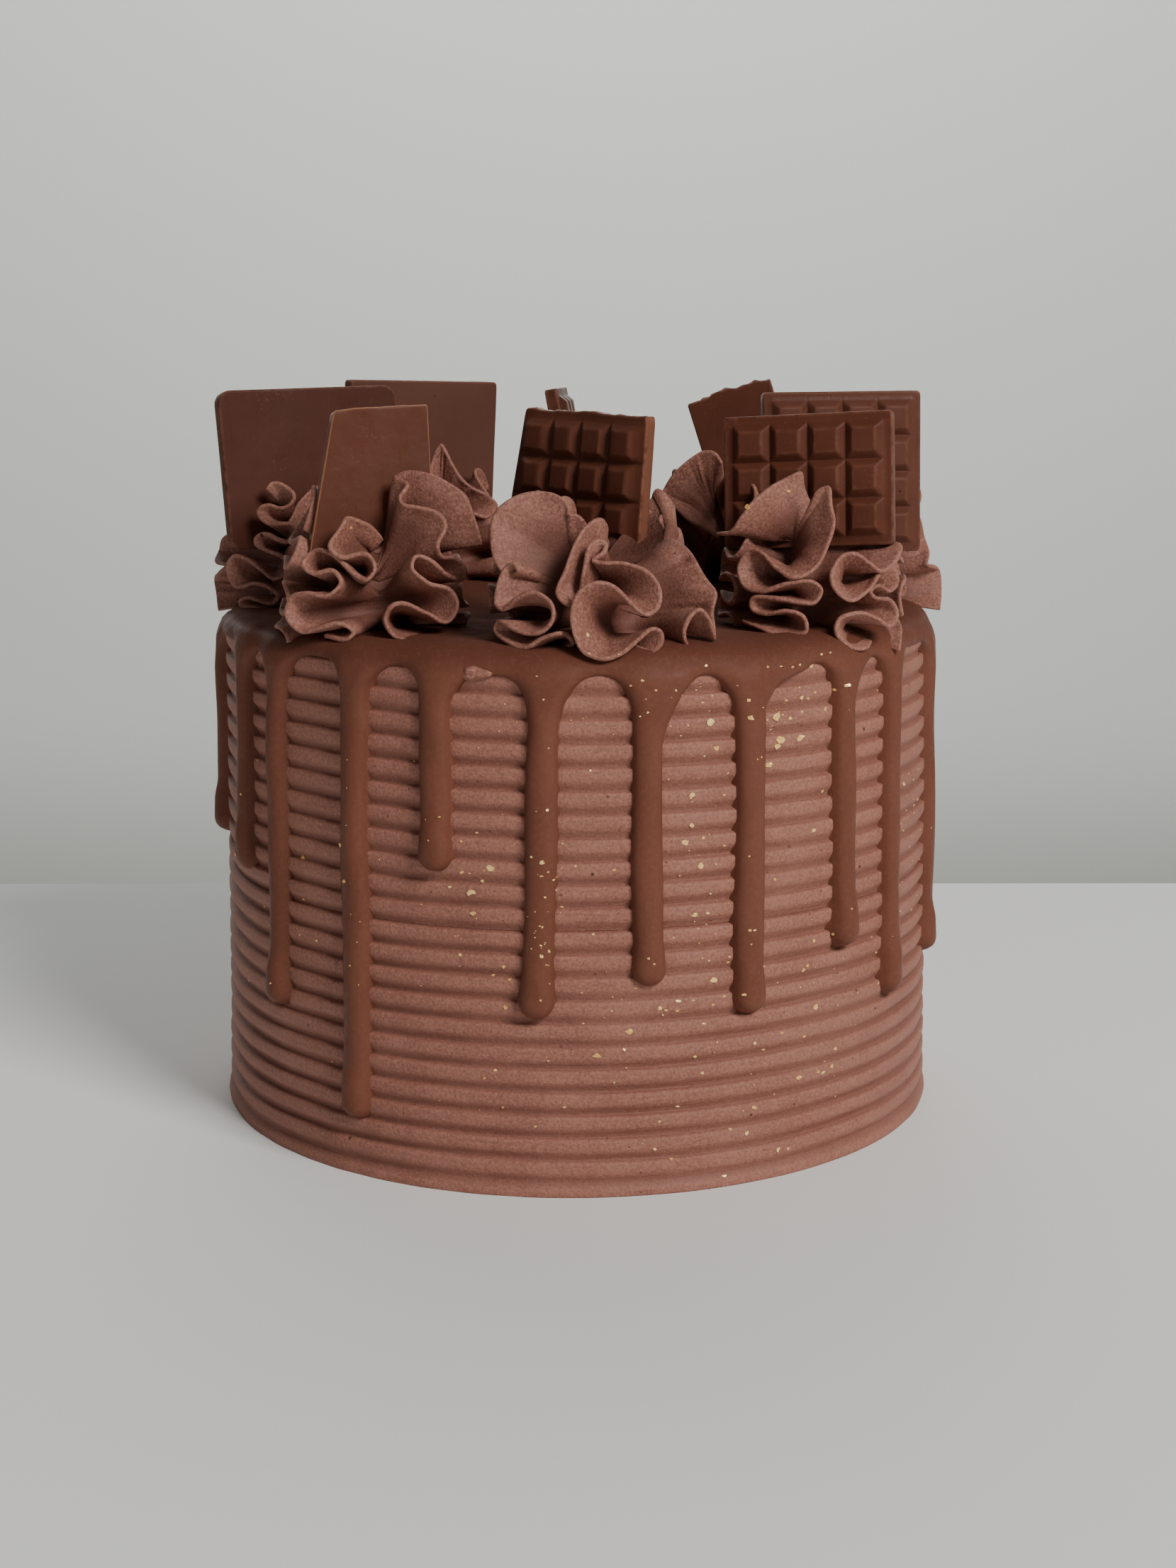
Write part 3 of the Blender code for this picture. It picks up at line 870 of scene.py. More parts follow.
@dataclass
class GanacheCoat:
    """The poured cap with its drips, as one skin whose thickness fades out at its edge.

    Arches are the hem's height between drips: angle and millimetres. The shoulder is the cap's
    profile, radius and height in millimetres. Rows are millimetres: from, to and step. A drip bulges
    and leans within near degrees of its middle, and counts within far. The other pairs say from where
    and over what distance corners round off, the shoulder begins and the cap swells.
    """

    comb: Comb
    thickness: float = 2.5 * MM
    bulb_thickness: float = 3.25 * MM
    sink: float = 1.5 * MM
    sink_over: float = 0.5 * MM
    joint: float = 3.2 * MM
    zone: float = 6.6 * MM
    drip_columns: int = 33
    gap_columns: int = 10
    round_zone: float = 3.2 * MM
    hem_slope: float = 0.72
    near: float = 5
    far: float = 14
    lean_from: float = 102 * MM
    lean_over: float = 60 * MM
    most_lean: float = 1.3
    bulb_over: float = 9 * MM
    wander: float = 0.16 * MM
    wander_wave: float = 9 * MM
    corners_round: Pair = (88 * MM, 9 * MM)
    shoulder_begins: Pair = (97 * MM, 7.5 * MM)
    cap_swells: Pair = (70 * MM, 9 * MM)
    hem_ripple: Ripple = Ripple(0.2 * MM, 11 * MM, 21)
    uneven: Ripple = Ripple(0.10, 13 * MM, 22)
    top_ripple: Ripple = Ripple(0.2 * MM, 15 * MM, 23)
    swell_height: float = 0.55 * MM
    swell_width: float = 3.6
    swell_mean: float = 0.35
    coarse_rows: Triple = (10.5, 94, 0.7)
    fine_rows: Triple = (94, 107.9, 0.4)
    drips: tuple[Drip, ...] = (
        Drip(-84.0, 60), Drip(-61.6, 58), Drip(-51.0, 31.5, 0, 3.0, right=(4.6, 10)),
        Drip(-33.9, 12, 0.1, 3.2, 3.4, (1.8, 6.5), (4.6, 8)),
        Drip(-20.2, 66, 0, 3.2, 3.6, (1.4, 5.5), (4.2, 8.5)),
        Drip(-3.9, 37, -1.2, 3.2, 3.7, (2.7, 9.6), (4.2, 11)),
        Drip(10.7, 43.5, 0.2, 3.1, 3.5, (2.9, 8.5), (7.6, 16)),
        Drip(26.7, 36, -0.2, 3.2, 3.6, (2.5, 8), (1.2, 4)),
        Drip(44.3, 46, 0.3, 3.0, 3.5, (3.4, 7.5), (5.0, 11)),
        Drip(57.1, 32, 0, 3.0, 3.3), Drip(78.4, 34, 0.2, right=(4.0, 9)), Drip(92.5, 57),
        Drip(107.0, 42, -0.5), Drip(124.0, 25, 0.3, 3.2, 3.6, (4.4, 12), (2.4, 7)),
        Drip(139.5, 62, 0, 3.0), Drip(155.0, 38, 0.6),
        Drip(172.5, 50, -0.3, 3.3, 3.7, (2.2, 7), (5.0, 12)), Drip(189.0, 22, 0.2),
        Drip(204.0, 57, 0, 3.0), Drip(221.0, 40, -0.6, left=(4.6, 11)), Drip(236.5, 70, 0.1, 3.2),
        Drip(252.0, 33, 0.3), Drip(264.5, 84, 0, 3.0, 3.3),
    )
    arches: Pairs = (
        (-72, 105.8), (-56, 106.2), (-42, 106.9), (-26, 106.7), (-16, 105.4), (-10, 105.4), (3, 105.6),
        (18.5, 106.2), (27, 101.5), (29.5, 100.8), (31, 101.9), (33.5, 103.2), (36.2, 104.4), (38, 105.5),
        (40, 105.9), (51, 105.6), (68, 104.9), (85, 105.2), (115, 106.2), (147, 105.4), (180, 106.2),
        (212, 105.0), (245, 105.9), (262, 105.3),
    )
    shoulder: Pairs = (
        (80.2, 104.0), (79.95, 105.4), (79.45, 106.8), (78.7, 108.2), (77.6, 109.35), (76.2, 110.1),
        (74.0, 110.7), (70.5, 111.0), (64.0, 111.08), (54.0, 111.0), (42.0, 110.95), (30.0, 111.0),
        (18.0, 111.0), (8.0, 111.0),
    )

    def hem(self, angle: Array, height: Array) -> Array:
        """Height of the hem between the drips, with a slight ripple.

        Args:
            angle: degrees from the front.
            height: height above the base.

        Returns:
            Height of the hem at each place.
        """
        knots = sorted((a % 360, z) for a, z in self.arches)
        knots = [(knots[-1][0] - 360, knots[-1][1])] + knots + [(knots[0][0] + 360, knots[0][1])]
        line = np.interp(angle % 360, [a for a, _ in knots], [z for _, z in knots]) * MM
        return line + self.hem_ripple.over(polar(angle, self.comb.base_radius, height))

    def leaning(self, height: Array) -> Array:
        """Share of a drip's lean at a height: none at the hem and more the lower it runs."""
        return np.clip((self.lean_from - height) / self.lean_over, 0, self.most_lean)

    def edge_distance(self, angle: Array, height: Array) -> Array:
        """How far inside the ganache's outline a place on the side is.

        Each drip is a capsule that widens towards the hem with the square of the way up its flare.
        It joins the hem by a smooth maximum, which rounds the corner between them.

        Args:
            angle: degrees from the front.
            height: height above the base.

        Returns:
            Distance in metres, negative outside.
        """
        hem = self.hem(angle, height)
        leaning = self.leaning(height)
        rounding = rising(height, *self.corners_round)
        inside = self.hem_slope * (height - hem)
        for order, drip in enumerate(self.drips):
            offset = wrapped(angle - drip.angle - drip.lean * leaning)
            wander = self.wander * np.sin(height / self.wander_wave + 2.1 * order)
            sideways = np.radians(offset) * self.comb.base_radius + wander
            below = np.minimum(height - drip.tip * MM - drip.bulb * MM, 0)
            capsule = drip.width_at(height, hem, offset, order) - np.hypot(sideways, below)
            fillet = np.maximum(self.joint - np.abs(inside - capsule), 0) ** 2 / (4 * self.joint)
            joined = np.maximum(inside, capsule) + fillet * rounding
            inside = np.where(np.abs(offset) < self.far, joined, inside)
        return inside

    def lift(self, inside: Array) -> Array:
        """Share of the full thickness: a quarter circle from the outline to the round zone's end."""
        share = np.clip(inside / self.round_zone, 0, 1)
        return np.sqrt(1 - (1 - share) ** 2)

    def fullness(self, angle: Array, height: Array) -> Array:
        """Thickness of the coat in full: more in each drip's bulb, and rounded off at the shoulder.

        Args:
            angle: degrees from the front.
            height: height above the base.

        Returns:
            Thickness at each place.
        """
        extra = np.zeros_like(angle)
        for drip in self.drips:
            offset = np.abs(wrapped(angle - drip.angle - drip.lean))
            rise = (height - drip.tip * MM) / self.bulb_over
            bump = smooth(1.6 - np.abs(rise - 0.45) * 1.7) * (offset < self.near)
            extra = np.maximum(extra, bump)
        full = self.thickness * (1 + self.uneven.over(polar(angle, self.comb.base_radius, height)))
        full = full + extra * (self.bulb_thickness - self.thickness)
        rims = np.array(self.shoulder[:5]) * MM
        rounded = np.interp(height, rims[:, 1], rims[:, 0]) + self.swell(angle)
        share = rising(height, *self.shoulder_begins)
        return full * (1 - share) + (rounded - self.comb.crest(height)) * share

    def swell(self, angle: Array) -> Array:
        """Bulge of the shoulder above each drip: a bell over the angle.

        Args:
            angle: degrees from the front.

        Returns:
            How far the shoulder stands out there.
        """
        total = np.zeros_like(angle)
        for drip in self.drips:
            total += np.exp(-(wrapped(angle - drip.angle) / self.swell_width) ** 2)
        return self.swell_height * (total - self.swell_mean)

    def columns(self) -> Array:
        """Column angles: close together across each drip and wider apart between drips.

        Returns:
            The angles, rising.
        """
        ordered = sorted(drip.angle % 360 for drip in self.drips)
        zone = math.degrees(self.zone / self.comb.base_radius)
        angles = []
        for here, following in zip(ordered, ordered[1:] + [ordered[0] + 360]):
            angles.append(here + np.linspace(-zone, zone, self.drip_columns))
            angles.append(np.linspace(here + zone, following - zone, self.gap_columns + 2)[1:-1])
        return np.concatenate(angles)

    def side(self, angle: Array) -> tuple[Array, Array]:
        """The part of the skin on the side of the cake, row by row of height.

        Args:
            angle: the column angles.

        Returns:
            Points (rows, columns, 3), and where the skin is sunk in full under the ridges.
        """
        heights = np.concatenate([np.arange(*self.coarse_rows), np.arange(*self.fine_rows)]) * MM
        angles, heights = np.meshgrid(angle, heights)
        leaning = self.leaning(heights)
        for drip in self.drips:
            offset = wrapped(angles - drip.angle)
            angles = angles + drip.lean * leaning * smooth(1.6 - np.abs(offset) / self.near)
        inside = self.edge_distance(angles, heights)
        drop = np.clip(-inside / self.sink_over, 0, 1)
        thick = self.fullness(angles, heights) * self.lift(inside) - self.sink * drop
        return polar(angles, self.comb.crest(heights) + thick, heights), drop >= 0.999

    def cap(self, angle: Array) -> Array:
        """The part of the skin from the shoulder in to the middle of the top, ring by ring.

        Args:
            angle: the column angles.

        Returns:
            Points (rings, columns, 3).
        """
        rims = np.array(self.shoulder[3:]) * MM
        angles = np.repeat(angle[None, :], len(rims), axis=0)
        swell = self.swell(angles) * rising(rims[:, 0], *self.cap_swells)[:, None]
        cap = polar(angles, rims[:, 0][:, None] + swell, rims[:, 1][:, None])
        cap[..., 2] += self.top_ripple.over(cap) + 0.5 * swell
        return cap

    def build(self) -> Piece:
        """Joins side and cap, drops what lies under the ridges, and dresses the coat.

        Returns:
            The dressed coat.
        """
        angle = self.columns()
        side, sunk = self.side(angle)
        cap = self.cap(angle)
        points = np.concatenate([side, cap])
        rows, columns = points.shape[:2]
        hidden = np.concatenate([sunk, np.zeros(cap.shape[:2], bool)]).ravel()
        quads = grid_quads(rows, columns, True)
        quads = quads[~hidden[quads].all(axis=1)]
        centre = rows * columns
        ring = np.arange(columns) + centre - columns
        everything = np.concatenate([points.reshape(-1, 3), [[0, 0, self.shoulder[-1][1] * MM]]])
        used, compact = np.unique(np.concatenate([quads.ravel(), ring, [centre]]), return_inverse=True)
        quads = compact[: quads.size].reshape(-1, 4)
        ring = compact[4 * len(quads): 4 * len(quads) + columns]
        coat = shell("ganache_coat", everything[used], [quads, fan_triangles(ring, compact[-1], True)])
        return dress(coat, GANACHE, "milk_ganache", "ganache")


def along_line(dense: Array, count: int) -> Array:
    """Points at even distances along a dense line.

    Args:
        dense: array (points, axes).
        count: how many points to give.

    Returns:
        Array (count, axes).
    """
    gone = np.append(0, np.cumsum(np.linalg.norm(np.diff(dense[:, :3], axis=0), axis=1)))
    wanted = np.linspace(0, gone[-1], count)
    return np.stack([np.interp(wanted, gone, axis) for axis in dense.T], axis=-1)


def running_mean(line: Array, reach: int) -> Array:
    """Each point's mean with its neighbours up to reach points away on both sides.

    Args:
        line: array (points, 3).
        reach: how many neighbours count on each side.

    Returns:
        Array (points, 3).
    """
    padded = np.pad(line, ((reach, reach), (0, 0)), mode="edge")
    total = np.cumsum(np.concatenate([np.zeros((1, 3)), padded]), axis=0)
    wide = 2 * reach + 1
    return (total[wide:] - total[:-wide]) / wide


def smooth_line(knots: Array, per_stretch: int = 28) -> Array:
    """A smooth line through all knots, which bends evenly even where they are unevenly spaced.

    Each stretch is a cubic whose end slopes come from the neighbouring knots, with the square root
    of the distance between knots as the running value.

    Args:
        knots: array (knots, axes).
        per_stretch: points on each stretch.

    Returns:
        Array of points along the line.
    """
    padded = np.concatenate([2 * knots[:1] - knots[1:2], knots, 2 * knots[-1:] - knots[-2:-1]])
    before, start, end, after = (padded[k:len(padded) - 3 + k] for k in range(4))

    def gap(first: Array, second: Array) -> Array:
        """Square root of the distance between two rows of knots."""
        return np.sqrt(np.linalg.norm(second - first, axis=1, keepdims=True) + 1e-9)

    first, middle, last = gap(before, start), gap(start, end), gap(end, after)
    leave = (start - before) / first - (end - before) / (first + middle) + (end - start) / middle
    arrive = (end - start) / middle - (after - start) / (middle + last) + (after - end) / last
    share = np.linspace(0, 1, per_stretch, endpoint=False)[None, :, None]
    start, end, leave, arrive = (row[:, None] for row in (start, end, leave * middle, arrive * middle))
    line = start * (1 + 2 * share) * (1 - share) ** 2 + end * share ** 2 * (3 - 2 * share)
    line = line + leave * share * (1 - share) ** 2 - arrive * share ** 2 * (1 - share)
    return np.concatenate([line.reshape(-1, knots.shape[1]), knots[-1:]])


@dataclass(frozen=True)
class Winding:
    """How a lip winds that the photo doesn't show, in millimetres. A pair is a range to draw from.

    The lip winds like a river: its heading, measured from straight up, is the swing in radians
    times the sine of the way between two turns. The last stretch arches over as a petal.
    """

    loops: int = 5
    swing: float = 1.92
    first_turn: Pair = (6.0, 0.2)
    turn_out: Pair = (5.2, 8.2)
    climb: Pair = (15, 19)
    climb_growth: float = 2.2
    arch: Pair = (5.5, 8.5)
    arch_over: Pair = (9, 14)
    arch_end: Pair = (-2, 1)
    stretch_points: int = 40

    def line(self, draw: np.random.Generator) -> Array:
        """One winding lip.

        Args:
            draw: source of the loops' widths and heights.

        Returns:
            Array (points, 2): sideways and up from the foot, in millimetres.
        """
        side = 1 if draw.random() < 0.5 else -1
        share = np.linspace(0, 1, self.stretch_points)
        heading = self.swing * np.sin(math.pi * share)
        sideways, rise = np.cumsum(np.sin(heading)), np.cumsum(np.cos(heading))
        sideways = (sideways - sideways[0]) / np.ptp(sideways)
        rise = (rise - rise[0]) / (rise[-1] - rise[0])
        turns = [(self.first_turn[0] * side, self.first_turn[1])]
        height = 0.0
        for loop in range(self.loops):
            height += (draw.uniform(*self.climb) + self.climb_growth * loop) / self.loops
            side = -side
            turns.append((side * draw.uniform(*self.turn_out), height))
        line = []
        for (left, low), (right, high) in zip(turns, turns[1:]):
            line.append(np.stack([left + (right - left) * sideways, low + (high - low) * rise], axis=-1))
        (last, top), arch = turns[-1], draw.uniform(*self.arch)
        over = last - side * draw.uniform(*self.arch_over)
        petal_up = top + arch * np.sin(math.pi * share) + draw.uniform(*self.arch_end) * share
        petal_out = last + (over - last) * (1 - np.cos(math.pi * share)) / 2
        line.append(np.stack([petal_out, petal_up], axis=-1))
        return np.concatenate(line)


@dataclass(frozen=True)
class Ruffle:
    """One ruffle of a rosette: its direction and, where it is seen in the photo, its lip.

    The lip's points are millimetres as the front camera sees them in an upright plane 19 mm in
    front of the rosette's middle: across, up and, where given, the true distance in front.
    The root is where it leaves the core, in core radii.
    """

    direction: float
    lip: tuple[tuple[float, ...], ...] = ()
    root: float = 1.0


@dataclass
class Rosette:
    """A piped rosette: ruffles whose lips fold to and fro and whose sheets run in to a common core.

    Depths are the share of the way from lip to core at which a sheet has points, and fading is the
    power with which its folds die away. Towards the tip the mound is drawn in by a share, from one
    height and over another. Droop and floor are pairs in millimetres, over the distance from the
    cake's middle: how far a lip's foot hangs over the shoulder, which fades up to the hang, and the
    ganache's height. A sheet joins the valley beside it from one depth and over another.
    """

    node: str
    angle: float
    distance: float
    reach: float
    ruffles: tuple[Ruffle, ...]
    rows: int = 240
    foot: float = 111.1 * MM
    core_height: float = 17 * MM
    core_share: float = 0.32
    core_top: float = 1.5 * MM
    flare: float = 0.72
    fading: float = 1.9
    lip: float = 0.46 * MM
    lip_turns: int = 5
    root_swell: float = 1.3
    sight_plane: float = 19 * MM
    winding: Winding = Winding()
    drawn_in: float = 0.42
    drawn_over: Pair = (8 * MM, 26 * MM)
    hang: float = 8 * MM
    valley_share: float = 0.04
    valley_lean: float = 0.12
    valley_joins: Pair = (0.45, 0.62)
    shade_depth: float = 0.7
    depths: tuple[float, ...] = (0, 0.035, 0.08, 0.14, 0.21, 0.29, 0.38, 0.48, 0.6, 0.74)
    crease_count: int = 8
    crease_widths: Pair = (0.010, 0.028)
    crease_heights: Pair = (0.12, 0.42)
    droop: Pairs = ((72, 0), (75, 0.5), (77, 1.4), (78.6, 2.9), (80, 4.4), (82, 6.0))
    floor: Pairs = ((72, 110.7), (75, 110.2), (77, 109.3), (78.6, 108.0), (79.7, 106.0))

    def middle(self) -> Array:
        """The rosette's middle on the ganache."""
        return polar(self.angle, self.distance, self.foot)

    def mound(self, height: Array) -> Array:
        """How far out the lips stand at a height: full at the foot, drawn in towards the tip."""
        return self.reach * (1 - self.drawn_in * rising(height, *self.drawn_over))

    def traced(self, ruffle: Ruffle) -> Array:
        """A seen lip in space: each knot lies on the camera's line of sight, as far out as the mound is.

        Args:
            ruffle: a ruffle with a lip.

        Returns:
            Array (points, 3) round the rosette's middle.
        """
        seen = np.array([point[:2] for point in ruffle.lip]) * MM
        narrowing = np.sqrt(np.maximum(1 - (seen[:, 0] / (1.25 * self.reach)) ** 2, 0.12))
        given = np.array([point[2] * MM if len(point) > 2 else np.nan for point in ruffle.lip])
        out = np.where(np.isnan(given), self.mound(seen[:, 1]) * narrowing, given)
        plane = np.stack([seen[:, 0], np.full(len(seen), -self.sight_plane), seen[:, 1]], axis=-1)
        eye = np.array(CAMERA.eye) - self.middle()
        share = (-eye[1] - out) / (-eye[1] - self.sight_plane)
        return smooth_line(eye + (plane - eye) * share[:, None])

    def meander(self, ruffle: Ruffle, seed: int) -> Array:
        """A lip that the photo doesn't show, wound round the mound.

        Args:
            ruffle: the ruffle.
            seed: picks widths and heights of the loops.

        Returns:
            Array (points, 3) round the rosette's middle.
        """
        flat = self.winding.line(np.random.default_rng(seed)) * MM
        uneven = Ripple(0.9 * MM, 9 * MM, seed).over(np.pad(flat, ((0, 0), (0, 1))))
        turn = ruffle.direction + np.degrees(flat[:, 0] / self.reach)
        return self.drape(polar(turn, self.mound(flat[:, 1]) + uneven, flat[:, 1]))

    def drape(self, points: Array) -> Array:
        """Lowers a lip's foot where it hangs over the shoulder of the ganache.

        Args:
            points: array (points, 3) round the rosette's middle.

        Returns:
            The same points, lowered.
        """
        placed = points + self.middle()
        drop = through_knots(np.hypot(placed[:, 0], placed[:, 1]), self.droop)
        points[:, 2] -= drop * (1 - smooth(points[:, 2] / self.hang))
        return points

    def creases(self, share: Array, seed: int) -> Array:
        """Small creases that run in from the lip: bells of either sign at random places along it.

        Args:
            share: way along the lip from 0 to 1.
            seed: picks the creases.

        Returns:
            How far the sheet is pushed sideways at each share.
        """
        draw = np.random.default_rng(seed + 7)
        shape = (self.crease_count, 1)
        places, widths = draw.uniform(0, 1, shape), draw.uniform(*self.crease_widths, shape)
        heights = draw.uniform(*self.crease_heights, shape) * draw.choice([-1, 1], shape)
        return MM * (heights * np.exp(-((share[None, :] - places) / widths) ** 2)).sum(axis=0)

    def middle_face(self, ruffle: Ruffle, seed: int) -> Array:
        """The face halfway through a ruffle's thickness.

        From lip to core the running mean of the lip goes straight in and down while the folds about
        it die away with a power of the way.

        Args:
            ruffle: the ruffle.
            seed: picks its small irregularities.

        Returns:
            Array (rows, depths, 3) from lip to core.
        """
        edge = along_line(self.traced(ruffle) if ruffle.lip else self.meander(ruffle, seed), self.rows)
        mean = running_mean(edge, self.rows // 7)
        core = polar(ruffle.direction, self.core_share * self.reach * ruffle.root, mean[:, 2])
        core[:, 2] = np.minimum(self.flare * np.maximum(mean[:, 2], 0), self.core_height)
        way_out = 1 - np.array(self.depths)[None, :, None]
        face = core[:, None] + (mean - core)[:, None] * way_out
        face = face + (edge - mean)[:, None] * way_out ** self.fading
        uneven = [Ripple(0.2 * MM, 5 * MM, seed + axis).over(face + seed) for axis in range(3)]
        return face + np.stack(uneven, axis=-1)

    def sheet(self, ruffle: Ruffle, seed: int) -> tuple[Array, Array, Array]:
        """One ruffle as two faces and a round lip.

        The faces stand half a thickness off the middle face on both sides, and a half circle joins
        them. The thickness grows towards the core and fades at the lip's upper end.

        Args:
            ruffle: the ruffle.
            seed: picks its small irregularities.

        Returns:
            Left face (rows, depths, 3) from lip to core, lip (rows, lip_turns, 3) and right face.
        """
        face = self.middle_face(ruffle, seed)
        share = np.linspace(0, 1, self.rows)
        depth = np.array(self.depths)[None, :, None]
        along, inward = np.gradient(face, axis=0), np.gradient(face, axis=1)
        left = unit(np.cross(along, inward))
        crease = self.creases(share, seed)[:, None, None] * smooth(depth / 0.12) * smooth((0.7 - depth) / 0.4)
        face = face + left * crease
        outward = unit(-inward[:, 0])
        uneven = 1 + 0.10 * np.sin(share * 40 + seed)
        fading = np.clip((1 - share) / 0.02 + 0.45, 0, 1)
        thick = self.lip * (1 + self.root_swell * smooth(depth / 0.6)) * (uneven * fading)[:, None, None]
        turn = ((np.arange(self.lip_turns) + 1) * math.pi / (self.lip_turns + 1))[None, :, None]
        facing = left[:, :1] * np.cos(turn) + outward[:, None] * np.sin(turn)
        round_lip = face[:, :1] + thick[:, :1] * facing
        return face + left * thick, round_lip, face - left * thick

    def valley(self, direction: float) -> Array:
        """The line between two ruffles, which leans in as it rises up the core.

        Args:
            direction: degrees round the rosette.

        Returns:
            Array (rows, 1, 3).
        """
        rise = np.linspace(0, 1, self.rows)
        radius = self.reach * (self.core_share + self.valley_share - self.valley_lean * rise)
        return polar(direction, radius, self.core_height * rise)[:, None]

    def rings(self) -> tuple[Array, Array]:
        """All ruffles side by side as closed rings, and how deep in a fold each point lies.

        Returns:
            Points (rows, columns, 3) round the middle, and their shade.
        """
        ordered = sorted(self.ruffles, key=lambda ruffle: ruffle.direction)
        directions = [ruffle.direction for ruffle in ordered]
        following = directions[1:] + [directions[0] + 360]
        before = [directions[-1] - 360] + directions[:-1]
        depth = np.array(self.depths)
        sink = rising(depth, *self.valley_joins)[None, :, None]
        strips, shades = [], []
        for index, (ruffle, after, previous) in enumerate(zip(ordered, following, before)):
            left, lip, right = self.sheet(ruffle, 31 * index + sum(map(ord, self.node)))
            ahead, behind = ((ruffle.direction + other) / 2 for other in (after, previous))
            left = left + (self.valley(behind) - left) * sink
            right = right + (self.valley(ahead) - right) * sink
            strips += [left[:, ::-1], lip, right, self.valley(ahead)]
            # Painted shade: darker the deeper a point lies in its fold, and full in the valleys between
            # ruffles.
            shade = np.broadcast_to(smooth(depth / self.shade_depth)[None, :], left.shape[:2])
            shades += [shade[:, ::-1], np.zeros(lip.shape[:2]), shade, np.ones((self.rows, 1))]
        return np.concatenate(strips, axis=1), np.concatenate(shades, axis=1)

    def build(self) -> Piece:
        """Builds the closed mound of ruffles, kept above the ganache, and dresses it.

        Returns:
            The dressed rosette.
        """
        rings, shade = self.rings()
        rings = rings + self.middle()
        floor = through_knots(np.hypot(rings[..., 0], rings[..., 1]), self.floor)
        rings[..., 2] = np.maximum(rings[..., 2], floor)
        ends = self.middle() + UP * np.array([[0], [self.core_height + self.core_top]])
        # Painted shade for the finish, full at both end centres.
        paint = {"hollow_shade": np.append(shade.ravel(), [1, 1])}
        piece = closed_shell(self.node + "_ruffles", rings, ends, paint)
        return dress(piece, BUTTERCREAM, "buttercream", self.node)


FRONT_COLUMN_TOP = (
    (-20.5, 16.4, 10), (-21.3, 20.0, 9), (-20.9, 24.6, 8), (-18.6, 27.3, 8), (-14.1, 29.3, 8),
    (-9.2, 29.2, 8), (-6.6, 27.4, 8), (-6.2, 25.4, 8.5), (-4.9, 25.1, 8), (-3.5, 23.6, 8), (-2.5, 20.5, 5),
)
FRONT_LEFT_COLUMN = (
    (-7.9, 0.3, 15), (-3.6, -0.5), (-2.3, 0.9), (-5.2, 2.8), (-9.5, 1.8), (-12.6, 1.1), (-15.2, 4.2),
    (-14.5, 7.7), (-11.5, 8.7), (-7.0, 8.4), (-4.6, 11.0), (-6.4, 13.2), (-10.3, 12.7), (-12.0, 14.4),
    (-9.4, 17.3, 14), (-6.5, 16.7), (-1.6, 12.4, 19), (0.6, 11.6, 20), (2.2, 13.8, 19.5), (0.3, 16.4, 18.5),
    (-4.4, 15.9, 18), (-6.6, 18.2, 17), (-4.2, 22.0, 13.5), (-3.0, 23.7, 11.5), (0.5, 22.4, 9),
    (4.0, 19.5, 6),
)
FRONT_LEFT_FAN = (
    (14.5, -0.1, 12), (11.2, -0.8, 17), (8.1, -0.7, 19), (5.3, 0.4, 19.5), (3.9, 3.0, 19.5),
    (5.2, 5.8, 19.5), (7.9, 6.6, 19), (12.4, 4.7, 17.5), (16.2, 2.9, 15.5), (18.4, 6.0, 14),
    (17.0, 9.3, 14), (12.5, 11.3, 15.5), (9.6, 13.6, 16), (10.5, 16.1, 14.5), (13.2, 15.3, 13.5),
    (16.7, 12.2, 12), (19.3, 11.3, 9), (20.0, 13.2, 8), (18.0, 15.6, 9), (15.2, 16.1, 11),
    (14.6, 18.2, 11.5), (16.2, 22.0, 10.5), (14.6, 24.7, 10.5), (11.0, 25.5, 11), (8.0, 26.1, 11),
    (7.3, 27.6, 9.5), (8.9, 30.2, 7), (6.6, 31.6, 4), (8.0, 32.5, 4), (11.5, 32.6, 5), (16.3, 31.0, 6),
    (20.0, 28.0, 6.5), (21.9, 23.0, 6), (23.6, 18.5, 5),
)
FRONT_COLUMN = (
    (-7.4, -0.4, 15), (-5.6, 0.5, 17), (-6.4, 2.1, 18), (-8.5, 2.6), (-11.3, 1.7), (-14.8, -0.3),
    (-18.3, 0.8, 15.5), (-20.4, 3.2, 13), (-19.6, 4.8, 14), (-16.6, 3.0, 17), (-14.1, 2.4, 18.5),
    (-11.4, 3.1, 19.5), (-9.7, 5.5, 20), (-10.1, 8.6, 19.5), (-13.0, 10.2, 18.5), (-16.4, 9.1, 17),
    (-19.2, 7.3, 15), (-20.6, 8.6, 14), (-20.3, 11.5, 13.5), (-18.6, 15.2, 13), (-16.9, 15.9, 14),
    (-16.4, 14.6, 14), (-18.0, 13.6, 11),
) + FRONT_COLUMN_TOP
FRONT_TONGUE = (
    (6.2, -0.2, 17), (9.6, -1.0, 19), (11.6, 0.8, 19.5), (11.6, 2.6, 19.5), (9.9, 3.2, 20), (7.1, 1.3, 21),
    (3.6, -1.5, 22), (0.4, -2.7, 22.8), (-3.2, -1.3, 22.6), (-5.3, 2.0, 22.2), (-5.9, 6.0, 21.8),
    (-4.6, 10.2, 21.5), (-1.1, 12.1, 21.5), (2.0, 11.7, 21.5), (5.9, 8.3, 21.5), (8.7, 6.3, 21),
    (10.8, 7.6, 20), (11.0, 11.0, 19), (8.6, 14.2, 18), (4.6, 15.9, 17.5), (0.0, 15.9, 17.5),
    (-1.7, 16.5, 17), (0.3, 18.1, 16.5), (0.7, 19.8, 15.8), (-0.6, 20.4, 16), (-2.3, 19.4, 17),
    (-3.7, 14.3, 18), (-4.6, 9.5, 18), (-6.5, 7.9, 18.5), (-8.7, 10.2, 18.5), (-7.1, 14.8, 17.5),
    (-5.2, 19.5, 15.5), (-2.7, 23.3, 13.5), (-0.4, 24.4, 11.5), (0.8, 23.0, 9), (0.8, 20.5, 6),
)
